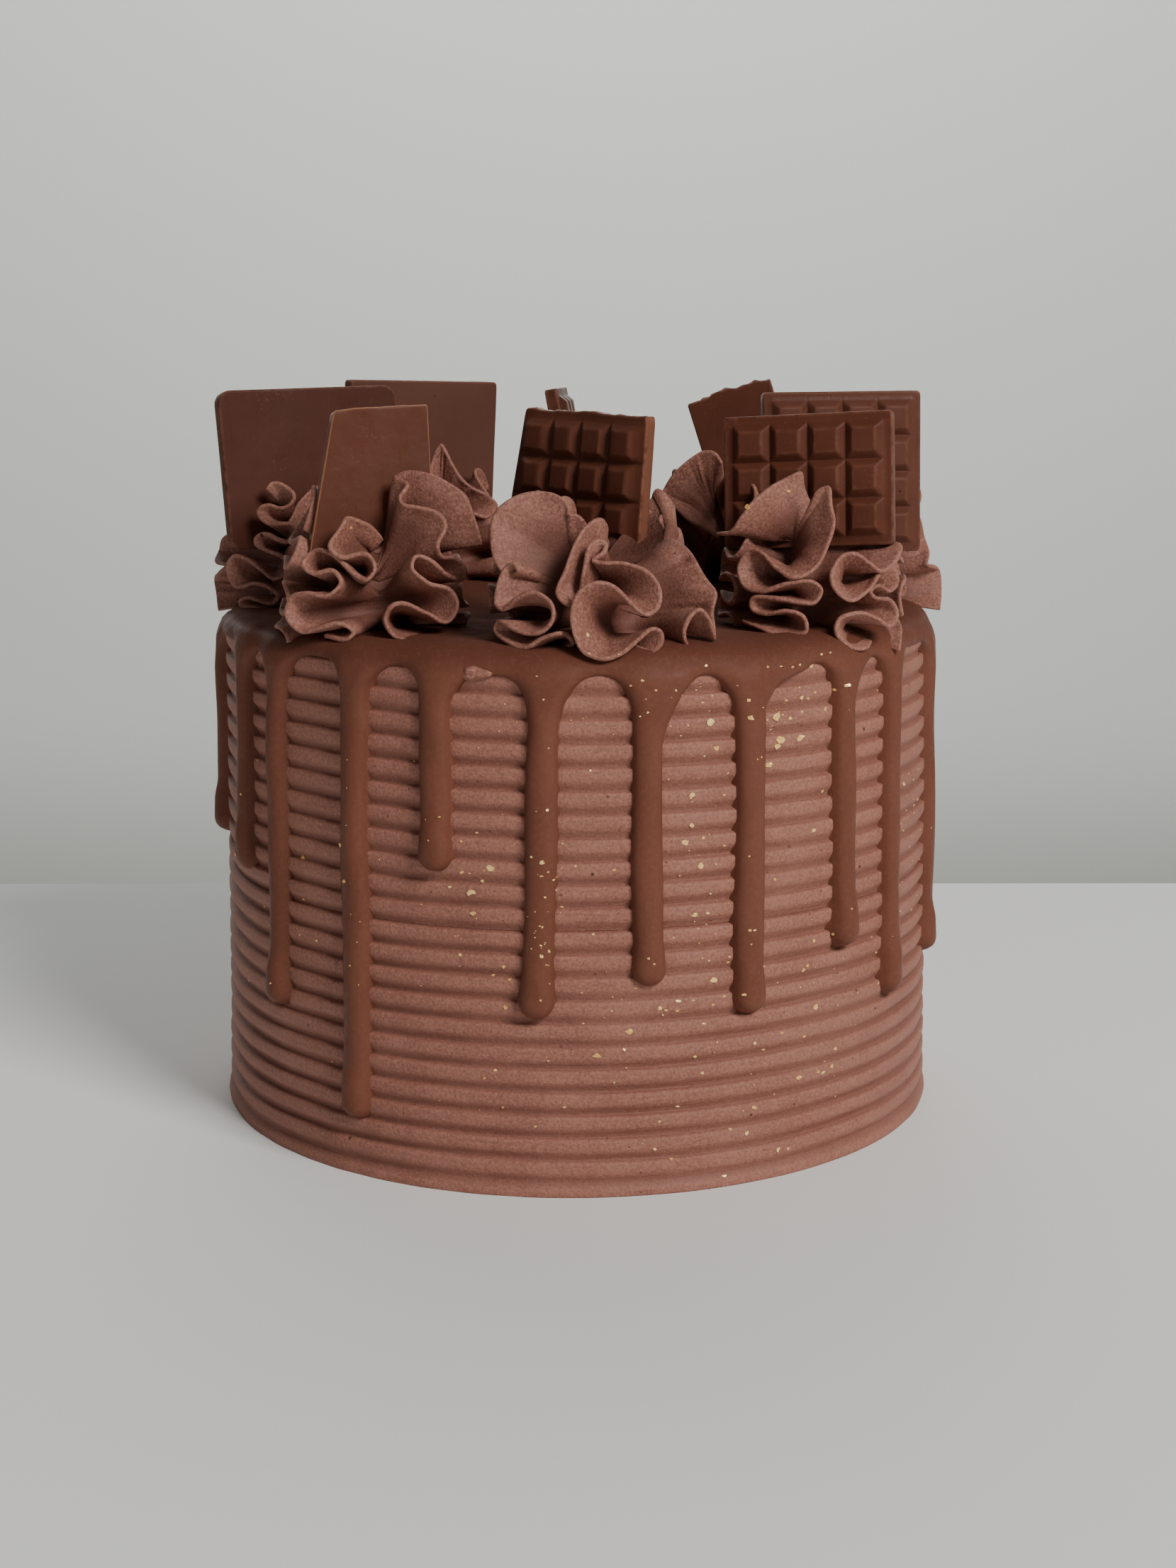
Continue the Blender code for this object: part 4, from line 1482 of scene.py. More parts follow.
FRONT_SIDE_FAN = (
    (18.4, 0.0, 10), (17.2, -0.6, 12.5), (16.2, 1.0, 14), (16.0, 3.4, 14.5), (17.0, 6.0, 14.5),
    (18.7, 7.1, 14), (20.3, 5.8, 13.5), (21.3, 3.2, 12.5), (21.6, 1.6, 11), (21.6, 3.5, 9), (21.3, 6.5, 9),
    (21.7, 10.4, 9), (19.9, 12.9, 7), (17.6, 16.4, 4), (15.1, 19.5, 0), (13.2, 20.5, -3),
    (11.6, 20.0, -5.5), (10.0, 18.6, -7), (9.9, 17.2, -8),
)
FRONT_BACK_FAN = (
    (17.0, 0.5, -8), (15.0, 3.0, -13), (18.5, 6.5, -9), (15.0, 10.0, -14), (17.5, 14.5, -10),
    (15.6, 18.6, -12), (15.6, 20.3, -12), (14.6, 22.5, -12), (12.2, 21.5, -12), (10.8, 24.2, -12),
    (12.0, 25.6, -14), (13.5, 26.2, -15), (12.4, 28.4, -16), (10.6, 29.9, -17), (9.6, 28.4, -17),
)
LEFT_COLUMN = (
    (-8.9, -0.7), (-11.9, -0.4), (-14.4, -0.3), (-14.8, 0.8), (-13.2, 1.6), (-10.1, 1.2), (-7.4, 0.9),
    (-6.2, 2.4), (-7.7, 3.9), (-9.4, 4.6), (-11.7, 4.8), (-13.9, 4.3), (-15.8, 4.6), (-16.7, 6.3),
    (-17.1, 8.1), (-16.8, 9.8), (-15.6, 11.0), (-13.8, 10.7), (-11.6, 9.5), (-9.6, 7.8), (-7.3, 6.2),
    (-4.5, 7.5), (-3.5, 9.5), (-5.2, 11.2), (-7.2, 11.8), (-9.2, 12.6), (-10.6, 13.5), (-10.7, 14.9),
    (-9.4, 16.0), (-7.7, 16.0), (-5.7, 14.8), (-3.7, 14.3), (-2.1, 15.1), (-1.4, 16.8), (-2.8, 18.2),
    (-5.6, 18.5), (-7.9, 18.5), (-9.5, 19.3), (-10.1, 20.4), (-9.3, 21.5), (-7.5, 22.1), (-4.9, 21.8),
    (-3.0, 22.6), (-2.1, 23.8), (-2.3, 25.2), (-4.8, 26.7), (-6.8, 26.9), (-8.4, 25.5),
)
LEFT_SIDE = (
    (-8.3, -0.7, 10), (-7.7, 2.1, 12), (-6.7, 5.3, 14), (-5.7, 7.9, 15), (-4.6, 10.0, 16), (-4.0, 12.3, 16),
    (-1.2, 14.7, 12), (-2.7, 15.9, 14), (-3.8, 17.1, 15), (-2.6, 19.6, 14), (-0.4, 23.0, 11),
    (1.9, 25.5, 8), (4.0, 26.4, 5),
)
LEFT_OUTER = (
    (-19.1, -0.7, 2), (-19.5, 2.7, 0), (-19.7, 5.9, -2), (-19.0, 7.4, 3), (-17.4, 8.8, 5), (-19.4, 9.9, 0),
    (-18.7, 12.3, -4), (-17.7, 14.9, -1), (-15.0, 16.2, 2), (-13.0, 17.0, -4), (-15.0, 19.0, -8),
)
BACK_LEFT_FAN = (
    (0.4, 11.6), (1.5, 16.6), (2.0, 21.6), (2.1, 25.2), (2.1, 27.6), (2.8, 30.1), (3.8, 32.5), (4.6, 33.2),
    (5.4, 32.4), (7.2, 29.1), (9.0, 25.8), (11.6, 23.5), (15.1, 21.9), (17.1, 19.5), (15.4, 17.1),
    (11.8, 17.6),
)
BACK_RIGHT_FAN = (
    (-2.9, 11.8), (-7.1, 14.8), (-10.1, 16.4), (-12.6, 18.4), (-14.9, 20.0), (-15.9, 22.5), (-14.2, 25.1),
    (-12.0, 28.1), (-8.8, 30.5), (-6.8, 31.5), (-4.3, 31.2), (-2.3, 29.1),
)
RIGHT_OUTER = (
    (20.9, -0.6, 6), (20.8, 2.5, 3), (20.5, 7.8, 0), (18.0, 8.9, 5), (18.1, 11.3, 2), (17.0, 14.8, -2),
    (15.8, 18.6, 2), (15.6, 20.9, 4), (15.8, 24.3, -1), (14.6, 27.2, -4), (12.5, 27.8, -7),
    (10.5, 26.1, -9),
)
FRONT_RIGHT_COLUMN = (
    (-14.9, 2.4, 13), (-12.7, 1.6, 15), (-8.1, -0.4), (-4.8, -0.8), (-2.4, 0.6), (-3.0, 3.5), (-6.5, 4.8),
    (-10.7, 4.2), (-13.3, 5.2), (-13.2, 7.3), (-8.8, 7.4), (-3.1, 6.2), (-0.6, 6.3), (0.6, 8.7),
    (-1.4, 10.7), (-5.4, 10.3), (-11.4, 8.7), (-14.9, 9.6), (-16.1, 13.0, 13), (-14.2, 16.8, 13),
    (-11.4, 16.6, 14.5), (-8.5, 13.4, 17), (-5.4, 11.5, 18.5), (-1.7, 12.9, 18), (1.4, 17.1, 16),
    (2.9, 21.5, 13.5), (2.2, 25.4, 11), (1.5, 29.1, 8.5), (-0.5, 28.7, 8), (-2.1, 26.4, 7), (-3.2, 28.5, 7),
    (-4.1, 32.2, 7), (-7.6, 30.3, 7.5), (-12.9, 27.0, 11), (-15.4, 23.6, 12), (-17.6, 20.6, 11),
    (-20.6, 20.3, 8),
)
FRONT_RIGHT_SIDE = (
    (10.6, -1.5, 12), (9.9, -2.7, 15), (8.2, -3.1, 16.5), (5.8, -2.4, 17.5), (3.7, 0.0, 18), (4.9, 3.2, 18),
    (8.2, 4.3, 17.5), (11.8, 3.0, 16.5), (14.3, 1.5, 15), (15.8, 3.7, 13.5), (14.4, 6.6, 13.5),
    (11.4, 7.3, 14), (10.4, 8.6, 14), (11.6, 9.7, 13.5), (14.2, 8.6, 12.5), (15.5, 10.2, 11.5),
    (15.0, 12.8, 11.5), (12.6, 12.6, 13), (9.7, 8.7, 16.5), (6.5, 6.7, 18), (3.6, 8.7, 18),
    (2.7, 12.2, 17.5), (4.5, 15.7, 16.5), (7.2, 16.3, 16), (10.0, 14.2, 15), (12.4, 12.5, 14.5),
    (14.7, 13.7, 13), (16.3, 17.2, 10), (13.5, 18.0, 6), (9.7, 18.2, 4), (7.2, 22.5, 4), (5.0, 26.2, 4),
    (2.4, 26.6, 4), (0.5, 22.5, 3),
)


def hidden(*directions: float) -> tuple[Ruffle, ...]:
    """Ruffles in these directions that the photo doesn't show clearly."""
    return tuple(Ruffle(direction) for direction in directions)


def all_rosettes() -> list[Rosette]:
    """The eight rosettes round the rim, with traced lips where the photo shows them clearly.

    Returns:
        One rosette for each node.
    """
    front = (
        Ruffle(-41, FRONT_COLUMN), Ruffle(4, FRONT_TONGUE), Ruffle(84, FRONT_SIDE_FAN),
        Ruffle(102, FRONT_BACK_FAN, 2.4), *hidden(-100, 160, 215),
    )
    front_left = (Ruffle(-20, FRONT_LEFT_COLUMN), Ruffle(56, FRONT_LEFT_FAN), *hidden(-78, 98, 160, 222))
    front_right = (Ruffle(-38, FRONT_RIGHT_COLUMN), Ruffle(30, FRONT_RIGHT_SIDE), *hidden(-82, 86, 144, 206))
    right = (Ruffle(76, RIGHT_OUTER), *hidden(18, 128, 190, 250, 310))
    back_right = (Ruffle(-40, BACK_RIGHT_FAN), *hidden(22, 84, 146, 208, 270))
    back_left = (Ruffle(34, BACK_LEFT_FAN), *hidden(96, 154, 212, 268, 326))
    left = (Ruffle(-84, LEFT_OUTER), Ruffle(-36, LEFT_COLUMN), Ruffle(14, LEFT_SIDE), *hidden(94, 152, 208))
    back = hidden(0, 62, 118, 180, 240, 302)
    return [
        Rosette("rosette_front", 6, 56.6 * MM, 21.8 * MM, front, rows=330, core_height=13.5 * MM),
        Rosette("rosette_front_left", -44, 59.6 * MM, 18.8 * MM, front_left, rows=310, fading=0.7),
        Rosette("rosette_front_right", 52.2, 62.4 * MM, 18.8 * MM, front_right, rows=310),
        Rosette("rosette_right", 98, 60 * MM, 21 * MM, right),
        Rosette("rosette_back_right", 139, 55 * MM, 18.6 * MM, back_right),
        Rosette("rosette_back", 180, 55.5 * MM, 17.4 * MM, back),
        Rosette("rosette_back_left", 221, 55 * MM, 18.6 * MM, back_left),
        Rosette("rosette_left", 262, 60 * MM, 21 * MM, left),
    ]


class Facing(Enum):
    """Which face of a bar piece points away from the cake's middle."""

    SQUARES = "squares"
    SMOOTH = "smooth"


@dataclass
class BarPiece:
    """A piece snapped from a moulded bar: a plate with bevelled squares on one face.

    The place is its middle in millimetres. Snapped gives, in millimetres, the width at the foot and
    at the head, the height, and how far the head's middle stands to one side. The cut-and-lit share is
    how much paler the walls are painted: partly snapped chocolate, partly painted light, none on walls
    in shade. Lines are the share of a square at which the grid has a line, and edge lines
    their distance from the outline in millimetres. Jags are the lengths of a snapped top's
    unevenness in millimetres, and the lit-and-worn widths are how far from an edge or crest the finish
    paints it paler, partly as wear and partly as painted highlight.
    """

    node: str
    across: int
    up: int
    place: Triple
    turn: float
    lean: float
    tilt: float
    facing: Facing
    snapped: tuple[float, float, float, float] | None = None
    corner: float = 1.0 * MM
    broken_top: float = 0.0
    cut_and_lit_walls: float = 0.12
    finish: BarChocolate = CHOCOLATE
    square: float = 7.85 * MM
    rim: float = 1.9 * MM
    plate: float = 3.0 * MM
    relief: float = 1.5 * MM
    bevel: float = 1.6 * MM
    soft: float = 0.16 * MM
    fillet: float = 0.42 * MM
    wall_shares: Triple = (0.2, 0.5, 0.8)
    jags: Triple = (3.1, 1.3, 0.55)
    jags_over: Pair = (0.72, 0.28)
    free_edge: float = 0.75 * MM
    lit_and_worn_crest: float = 0.5 * MM
    lit_and_worn_edge: float = 0.6 * MM
    lit_and_worn_back: float = 0.5 * MM
    edge_lines: tuple[float, ...] = (0, 0.08, 0.2, 0.38, 0.7)
    lines: tuple[float, ...] = (
        0, 0.022, 0.06, 0.12, 0.175, 0.2, 0.225, 0.27, 0.4, 0.5, 0.6, 0.73, 0.775, 0.8, 0.825, 0.88, 0.94,
        0.978,
    )

    def half_sizes(self) -> Triple:
        """Half the width at the foot, half the width at the head and half the height.

        Returns:
            The three sizes.
        """
        if self.snapped:
            return tuple(size * MM / 2 for size in self.snapped[:3])
        wide = self.across * self.square / 2 + self.rim
        return wide, wide, self.up * self.square / 2 + self.rim

    def slant(self) -> float:
        """Sideways shift for each unit up of a snapped piece whose head stands to one side of its foot.

        Returns:
            The shift.
        """
        if not self.snapped:
            return 0.0
        side = 1 if self.facing is Facing.SQUARES else -1
        return side * self.snapped[3] / self.snapped[2]

    def half_width(self, y: Array) -> Array:
        """Half the width at a place up the piece, which goes evenly from foot to head."""
        foot, head, tall = self.half_sizes()
        return foot + (head - foot) * (y + tall) / (2 * tall)

    def lines_over(self, squares: int, half: float) -> Array:
        """Grid lines over one direction: close at the edges, the bevels and the grooves.

        Args:
            squares: number of squares.
            half: half the piece's size.

        Returns:
            The lines' places.
        """
        inner = (np.arange(squares)[:, None] + np.array(self.lines)[None, :]).ravel() * self.square
        inner = np.append(inner, squares * self.square) - squares * self.square / 2
        edge = np.array(self.edge_lines) * MM
        kept = inner[np.abs(inner) < half - self.free_edge]
        return np.concatenate([edge - half, kept, half - edge[::-1]])

    def face(self) -> tuple[Array, Array, Array, Array]:
        """Places over the plate and the height of the moulded squares above it.

        The relief at a place is its distance to the nearest groove, over the bevel's width, held
        at the full relief and softened where the planes meet.

        Returns:
            x, y, relief and distance to the outline, all arrays (rows, columns).
        """
        foot, head, tall = self.half_sizes()
        wide = max(foot, head)
        x, y = np.meshgrid(self.lines_over(self.across, wide), self.lines_over(self.up, tall))
        half_width = self.half_width(y)
        x = x * half_width / wide + self.slant() * y
        y = y + self.jagged(x) * rising(y / tall, *self.jags_over)
        rise = self.relief * self.groove_distance(x, y) / self.bevel
        held = 0.5 * (rise + self.relief - np.sqrt((rise - self.relief) ** 2 + self.soft ** 2))
        inside = (np.abs(x) < self.across * self.square / 2) & (np.abs(y) < self.up * self.square / 2)
        to_side = half_width - np.abs(x - self.slant() * y)
        to_edge = np.minimum(to_side, tall + self.jagged(x) * (y > 0) - np.abs(y))
        return x, y, np.where(inside, np.maximum(held, 0), 0), np.maximum(to_edge, 0)

    def groove_distance(self, x: Array, y: Array) -> Array:
        """Distance from each place to the nearest line of the grid between the squares.

        Args:
            x: places across.
            y: places up.

        Returns:
            The distances.
        """
        from_x = (x + self.across * self.square / 2) % self.square
        from_y = (y + self.up * self.square / 2) % self.square
        return np.minimum(np.minimum(from_x, self.square - from_x), np.minimum(from_y, self.square - from_y))

    def jagged(self, x: Array) -> Array:
        """Unevenness of a snapped top edge along its width: a sum of sines, in metres.

        Args:
            x: places across.

        Returns:
            How far the edge stands up there.
        """
        broad, middling, fine = (x / (length * MM) for length in self.jags)
        ragged = np.sin(broad + 1.3) + 0.6 * np.sin(middling) + 0.3 * np.sin(fine + 2)
        return self.broken_top * ragged * 0.5

    def round_corners(self, x: Array, y: Array) -> tuple[Array, Array]:
        """Pulls places beyond a corner's arc on to the arc.

        Args:
            x: places across.
            y: places up.

        Returns:
            The places after the pull.
        """
        tall = self.half_sizes()[2]
        half_width = self.half_width(y)
        middle = self.slant() * y
        over_x = np.abs(x - middle) - (half_width - self.corner)
        over_y = np.abs(y) - (tall - self.corner)
        reach = np.hypot(over_x, over_y)
        beyond = (over_x > 0) & (over_y > 0) & (reach > 1e-9)
        pull = np.where(beyond, np.maximum(over_x, over_y) / np.maximum(reach, 1e-9), 1)
        new_x = np.where(beyond, middle + np.sign(x - middle) * (half_width - self.corner + over_x * pull), x)
        new_y = np.where(beyond, np.sign(y) * (tall - self.corner + over_y * pull), y)
        return new_x, new_y

    def placing(self) -> Matrix:
        """Turns the flat piece upright and stands it in its rosette, as its node stands.

        Returns:
            The turning and shift as a matrix.
        """
        turn, lean, tilt = (math.radians(value) for value in (self.turn, self.lean, self.tilt))
        upright = Matrix.Rotation(-lean, 4, "X") @ Matrix.Rotation(math.pi / 2, 4, "X")
        stand = Matrix.Translation(Vector(self.place) * MM) @ Matrix.Rotation(turn, 4, "Z") @ upright
        flip = Matrix.Identity(4) if self.facing is Facing.SQUARES else Matrix.Rotation(math.pi, 4, "Y")
        middle = Matrix.Translation((0, 0, -(self.plate + self.relief) / 2))
        return stand @ Matrix.Rotation(tilt, 4, "Z") @ flip @ middle

    def skins(self, x: Array, y: Array, relief: Array, to_edge: Array) -> tuple[Array, Array]:
        """Front and back face of the flat piece, with slow unevenness and rounded edges.

        Args:
            x: places across.
            y: places up.
            relief: height of the squares.
            to_edge: distance to the outline.

        Returns:
            Two arrays (places, 3).
        """
        seed = sum(map(ord, self.node))
        close = np.maximum(self.fillet - to_edge, 0)
        fall = self.fillet - np.sqrt(np.maximum(self.fillet ** 2 - close ** 2, 0))
        flat = np.stack([x, y, np.zeros_like(x)], axis=-1)
        front = self.plate + relief - fall + Ripple(0.05 * MM, 9 * MM, seed).over(flat)
        back = 0.85 * fall + Ripple(0.06 * MM, 12 * MM, seed + 1).over(flat)
        return tuple(np.stack([x, y, depth], axis=-1).reshape(-1, 3) for depth in (front, back))

    def wall_loops(self, low: Array, high: Array) -> list[Array]:
        """Loops of points round the walls between both faces, rougher at a snapped top.

        Args:
            low: outline (points, 3) of the back face.
            high: outline of the front face.

        Returns:
            One array (points, 3) for each loop.
        """
        seed = sum(map(ord, self.node))
        loops = []
        for index, share in enumerate(self.wall_shares):
            loop = low * (1 - share) + high * share
            rough = Ripple(0.44 * self.broken_top, 1.2 * MM, seed + index).over(loop)
            loop[:, 1] += np.where(loop[:, 1] > 0, rough, 0)
            loops.append(loop)
        return loops

    def wear(self, x: Array, y: Array, relief: Array, to_edge: Array, walls: Array) -> dict[str, Array]:
        """The values that the finish reads: edges painted paler as wear and painted highlight, broken faces,
        and walls painted paler partly as painted light.

        Args:
            x: places across.
            y: places up.
            relief: height of the squares.
            to_edge: distance to the outline.
            walls: points (points, 3) of the walls.

        Returns:
            Values by name for both faces' places and then the walls' points.
        """
        # Painted highlight and wear along the squares' crests and the outline.
        crest = smooth(1 - np.abs(self.groove_distance(x, y) - self.bevel) / self.lit_and_worn_crest)
        edge = np.maximum(0.38 * crest * (relief > 0.5 * self.relief), smooth(1 - to_edge / self.lit_and_worn_edge))
        back_edge = smooth(1 - to_edge / self.lit_and_worn_back)
        faces = np.zeros(2 * x.size)
        broken = rising(walls[:, 1] / self.half_sizes()[2], 0.9, 0.08) if self.broken_top else 0
        return {
            "edge": np.concatenate([edge.ravel(), back_edge.ravel(), np.full(len(walls), 0.25)]),
            "broken": np.append(faces, np.zeros(len(walls)) + broken),
            "wall": np.append(faces, np.full(len(walls), self.cut_and_lit_walls)),
        }

    def build(self) -> Piece:
        """Builds both faces and the walls between them, and dresses the piece.

        Returns:
            The dressed piece.
        """
        x, y, relief, to_edge = self.face()
        x, y = self.round_corners(x, y)
        front, back = self.skins(x, y, relief, to_edge)
        number = np.arange(x.size).reshape(x.shape)
        ring = np.concatenate([number[0, :-1], number[:-1, -1], number[-1, :0:-1], number[:0:-1, 0]])
        loops = self.wall_loops(back[ring], front[ring])
        walls = [np.arange(len(ring)) + 2 * x.size + index * len(ring) for index in range(len(loops))]
        walls = [ring + x.size, *walls, ring]
        face = grid_quads(*x.shape, False)
        quads = [face, face[:, ::-1] + x.size]
        for low, high in zip(walls, walls[1:]):
            quads.append(np.stack([low, np.roll(low, -1), np.roll(high, -1), high], axis=-1))
        paint = self.wear(x, y, relief, to_edge, np.concatenate(loops))
        turned = np.array(self.placing())
        placed = np.concatenate([front, back, *loops]) @ turned[:3, :3].T + turned[:3, 3]
        piece = shell(self.node + "_piece", placed, quads, paint)
        return dress(piece, self.finish, "milk_chocolate_bar", self.node)


def all_bars() -> list[BarPiece]:
    """The eight bar pieces, one in each rosette.

    Returns:
        One bar piece for each node.
    """
    squares, plain = Facing.SQUARES, Facing.SMOOTH
    return [
        BarPiece(
            "bar_front", 4, 3, (1.2, -38.0, 140.9), -41, 6, -1.6, squares, (37.2, 33.5, 27.35, 1.05),
            broken_top=0.35 * MM, cut_and_lit_walls=0.5,
        ),
        BarPiece("bar_front_right", 4, 3, (48.3, -41.0, 140.6), -16, 9, 3.3, squares),
        BarPiece("bar_right", 4, 4, (58.8, -5.0, 140.0), 6, 4, 0.4, squares, finish=PALER_CHOCOLATE),
        BarPiece(
            "bar_back_right", 2, 4, (41.0, 36.0, 140.6), -4, 3, 18, plain, (20.4, 20.4, 33.6, 0),
            broken_top=0.7 * MM,
        ),
        BarPiece(
            "bar_back", 3, 4, (-1.6, 54.0, 139.4), 86, 10, -1, squares, cut_and_lit_walls=0.0, finish=DARKER_CHOCOLATE,
        ),
        BarPiece(
            "bar_back_left", 5, 4, (-38.0, 39.0, 141.4), 41, -2, -1.8, plain, finish=SHEEN_PAINTED_CHOCOLATE,
        ),
        BarPiece(
            "bar_left", 5, 4, (-60.0, 8.0, 140.5), 30, 8, 0.8, plain, corner=3 * MM, finish=DARKER_CHOCOLATE,
        ),
        BarPiece(
            "bar_front_left", 2, 3, (-41.0, -41.5, 141.0), 20, 10, 3, plain, (26.5, 20.0, 29.0, 5.3),
            broken_top=0.15 * MM, cut_and_lit_walls=0.0, finish=WARM_CHOCOLATE,
        ),
    ]


# The clearest flecks as the photo shows them: pixels across and down, and width in millimetres
SEEN_FLECKS = (
    (831, 922, 0.6), (873, 923, 0.4), (828, 895, 1.2), (495, 745, 1.0), (1055, 715, 1.4), (1113, 693, 0.8),
    (996, 939, 0.6), (1083, 941, 0.6), (1102, 940, 0.7), (1118, 941, 0.6), (1128, 938, 0.7),
    (1144, 939, 1.0), (1159, 923, 0.7), (1171, 921, 0.5), (1195, 967, 1.8), (1177, 973, 0.9),
    (906, 960, 0.7), (890, 967, 0.6), (925, 974, 0.6), (914, 1005, 0.5), (1056, 988, 0.9),
    (1059, 1013, 1.3), (991, 991, 0.8), (1011, 1055, 1.4), (1027, 1091, 0.7), (1022, 1121, 0.6),
    (992, 1182, 0.9), (1022, 1193, 0.8), (989, 1221, 1.3), (980, 1290, 1.4), (998, 1288, 0.9),
    (1114, 1013, 1.1), (1095, 1052, 1.6), (1109, 988, 0.7), (1139, 985, 0.7), (1149, 977, 0.8),
    (1131, 1004, 0.7), (1164, 1000, 0.9), (1160, 1116, 0.9), (1147, 1171, 1.1), (1093, 1240, 0.9),
    (1057, 1208, 0.6), (765, 1217, 1.4), (772, 1143, 0.7), (784, 1256, 0.9), (764, 1236, 0.7),
    (781, 1241, 0.7), (785, 1237, 0.6), (866, 1227, 0.9), (812, 1222, 0.6), (792, 1279, 0.8),
    (769, 1266, 0.6), (833, 1087, 0.6), (767, 987, 0.6), (757, 954, 0.6), (943, 1099, 0.5),
    (1058, 1312, 0.8), (1065, 1312, 0.8), (1148, 1327, 1.1), (1175, 1318, 0.9), (764, 1349, 0.9),
    (765, 1308, 0.6), (763, 1334, 0.5), (837, 1318, 0.6), (711, 1364, 0.8), (719, 1382, 0.8),
    (713, 1421, 0.9), (915, 1352, 0.5), (923, 1360, 0.5), (1027, 1357, 0.8), (1029, 1350, 0.8),
    (1000, 1355, 0.6), (957, 1412, 1.0), (931, 1422, 1.0), (939, 1425, 1.0), (955, 1426, 0.9),
    (978, 1411, 0.6), (993, 1444, 0.8), (881, 1481, 0.7), (1102, 1457, 1.1), (1134, 1462, 0.9),
    (1139, 1362, 0.8), (1133, 1369, 0.9), (1178, 1479, 1.2), (1161, 1513, 1.1), (1154, 1512, 0.9),
    (1173, 1504, 1.0), (1064, 1562, 1.1), (1053, 1598, 1.1), (1030, 1593, 0.8), (930, 1582, 0.9),
    (755, 1589, 0.7), (924, 1621, 0.9), (947, 1635, 0.9), (1097, 1622, 1.1), (1112, 1620, 0.8),
    (1021, 1659, 1.0), (699, 1510, 0.9), (683, 1521, 0.9), (796, 1562, 0.6), (1050, 1403, 1.0),
    (1021, 1405, 0.8),
)


@dataclass(frozen=True)
class Sprinkle:
    """A loose patch of gold flecks: its middle's angle and height, its spread, and how many and how large.

    Height and size are millimetres. The spread is in degrees across and millimetres up.
    """

    angle: float
    height: float
    spread: Pair
    count: int
    size: float


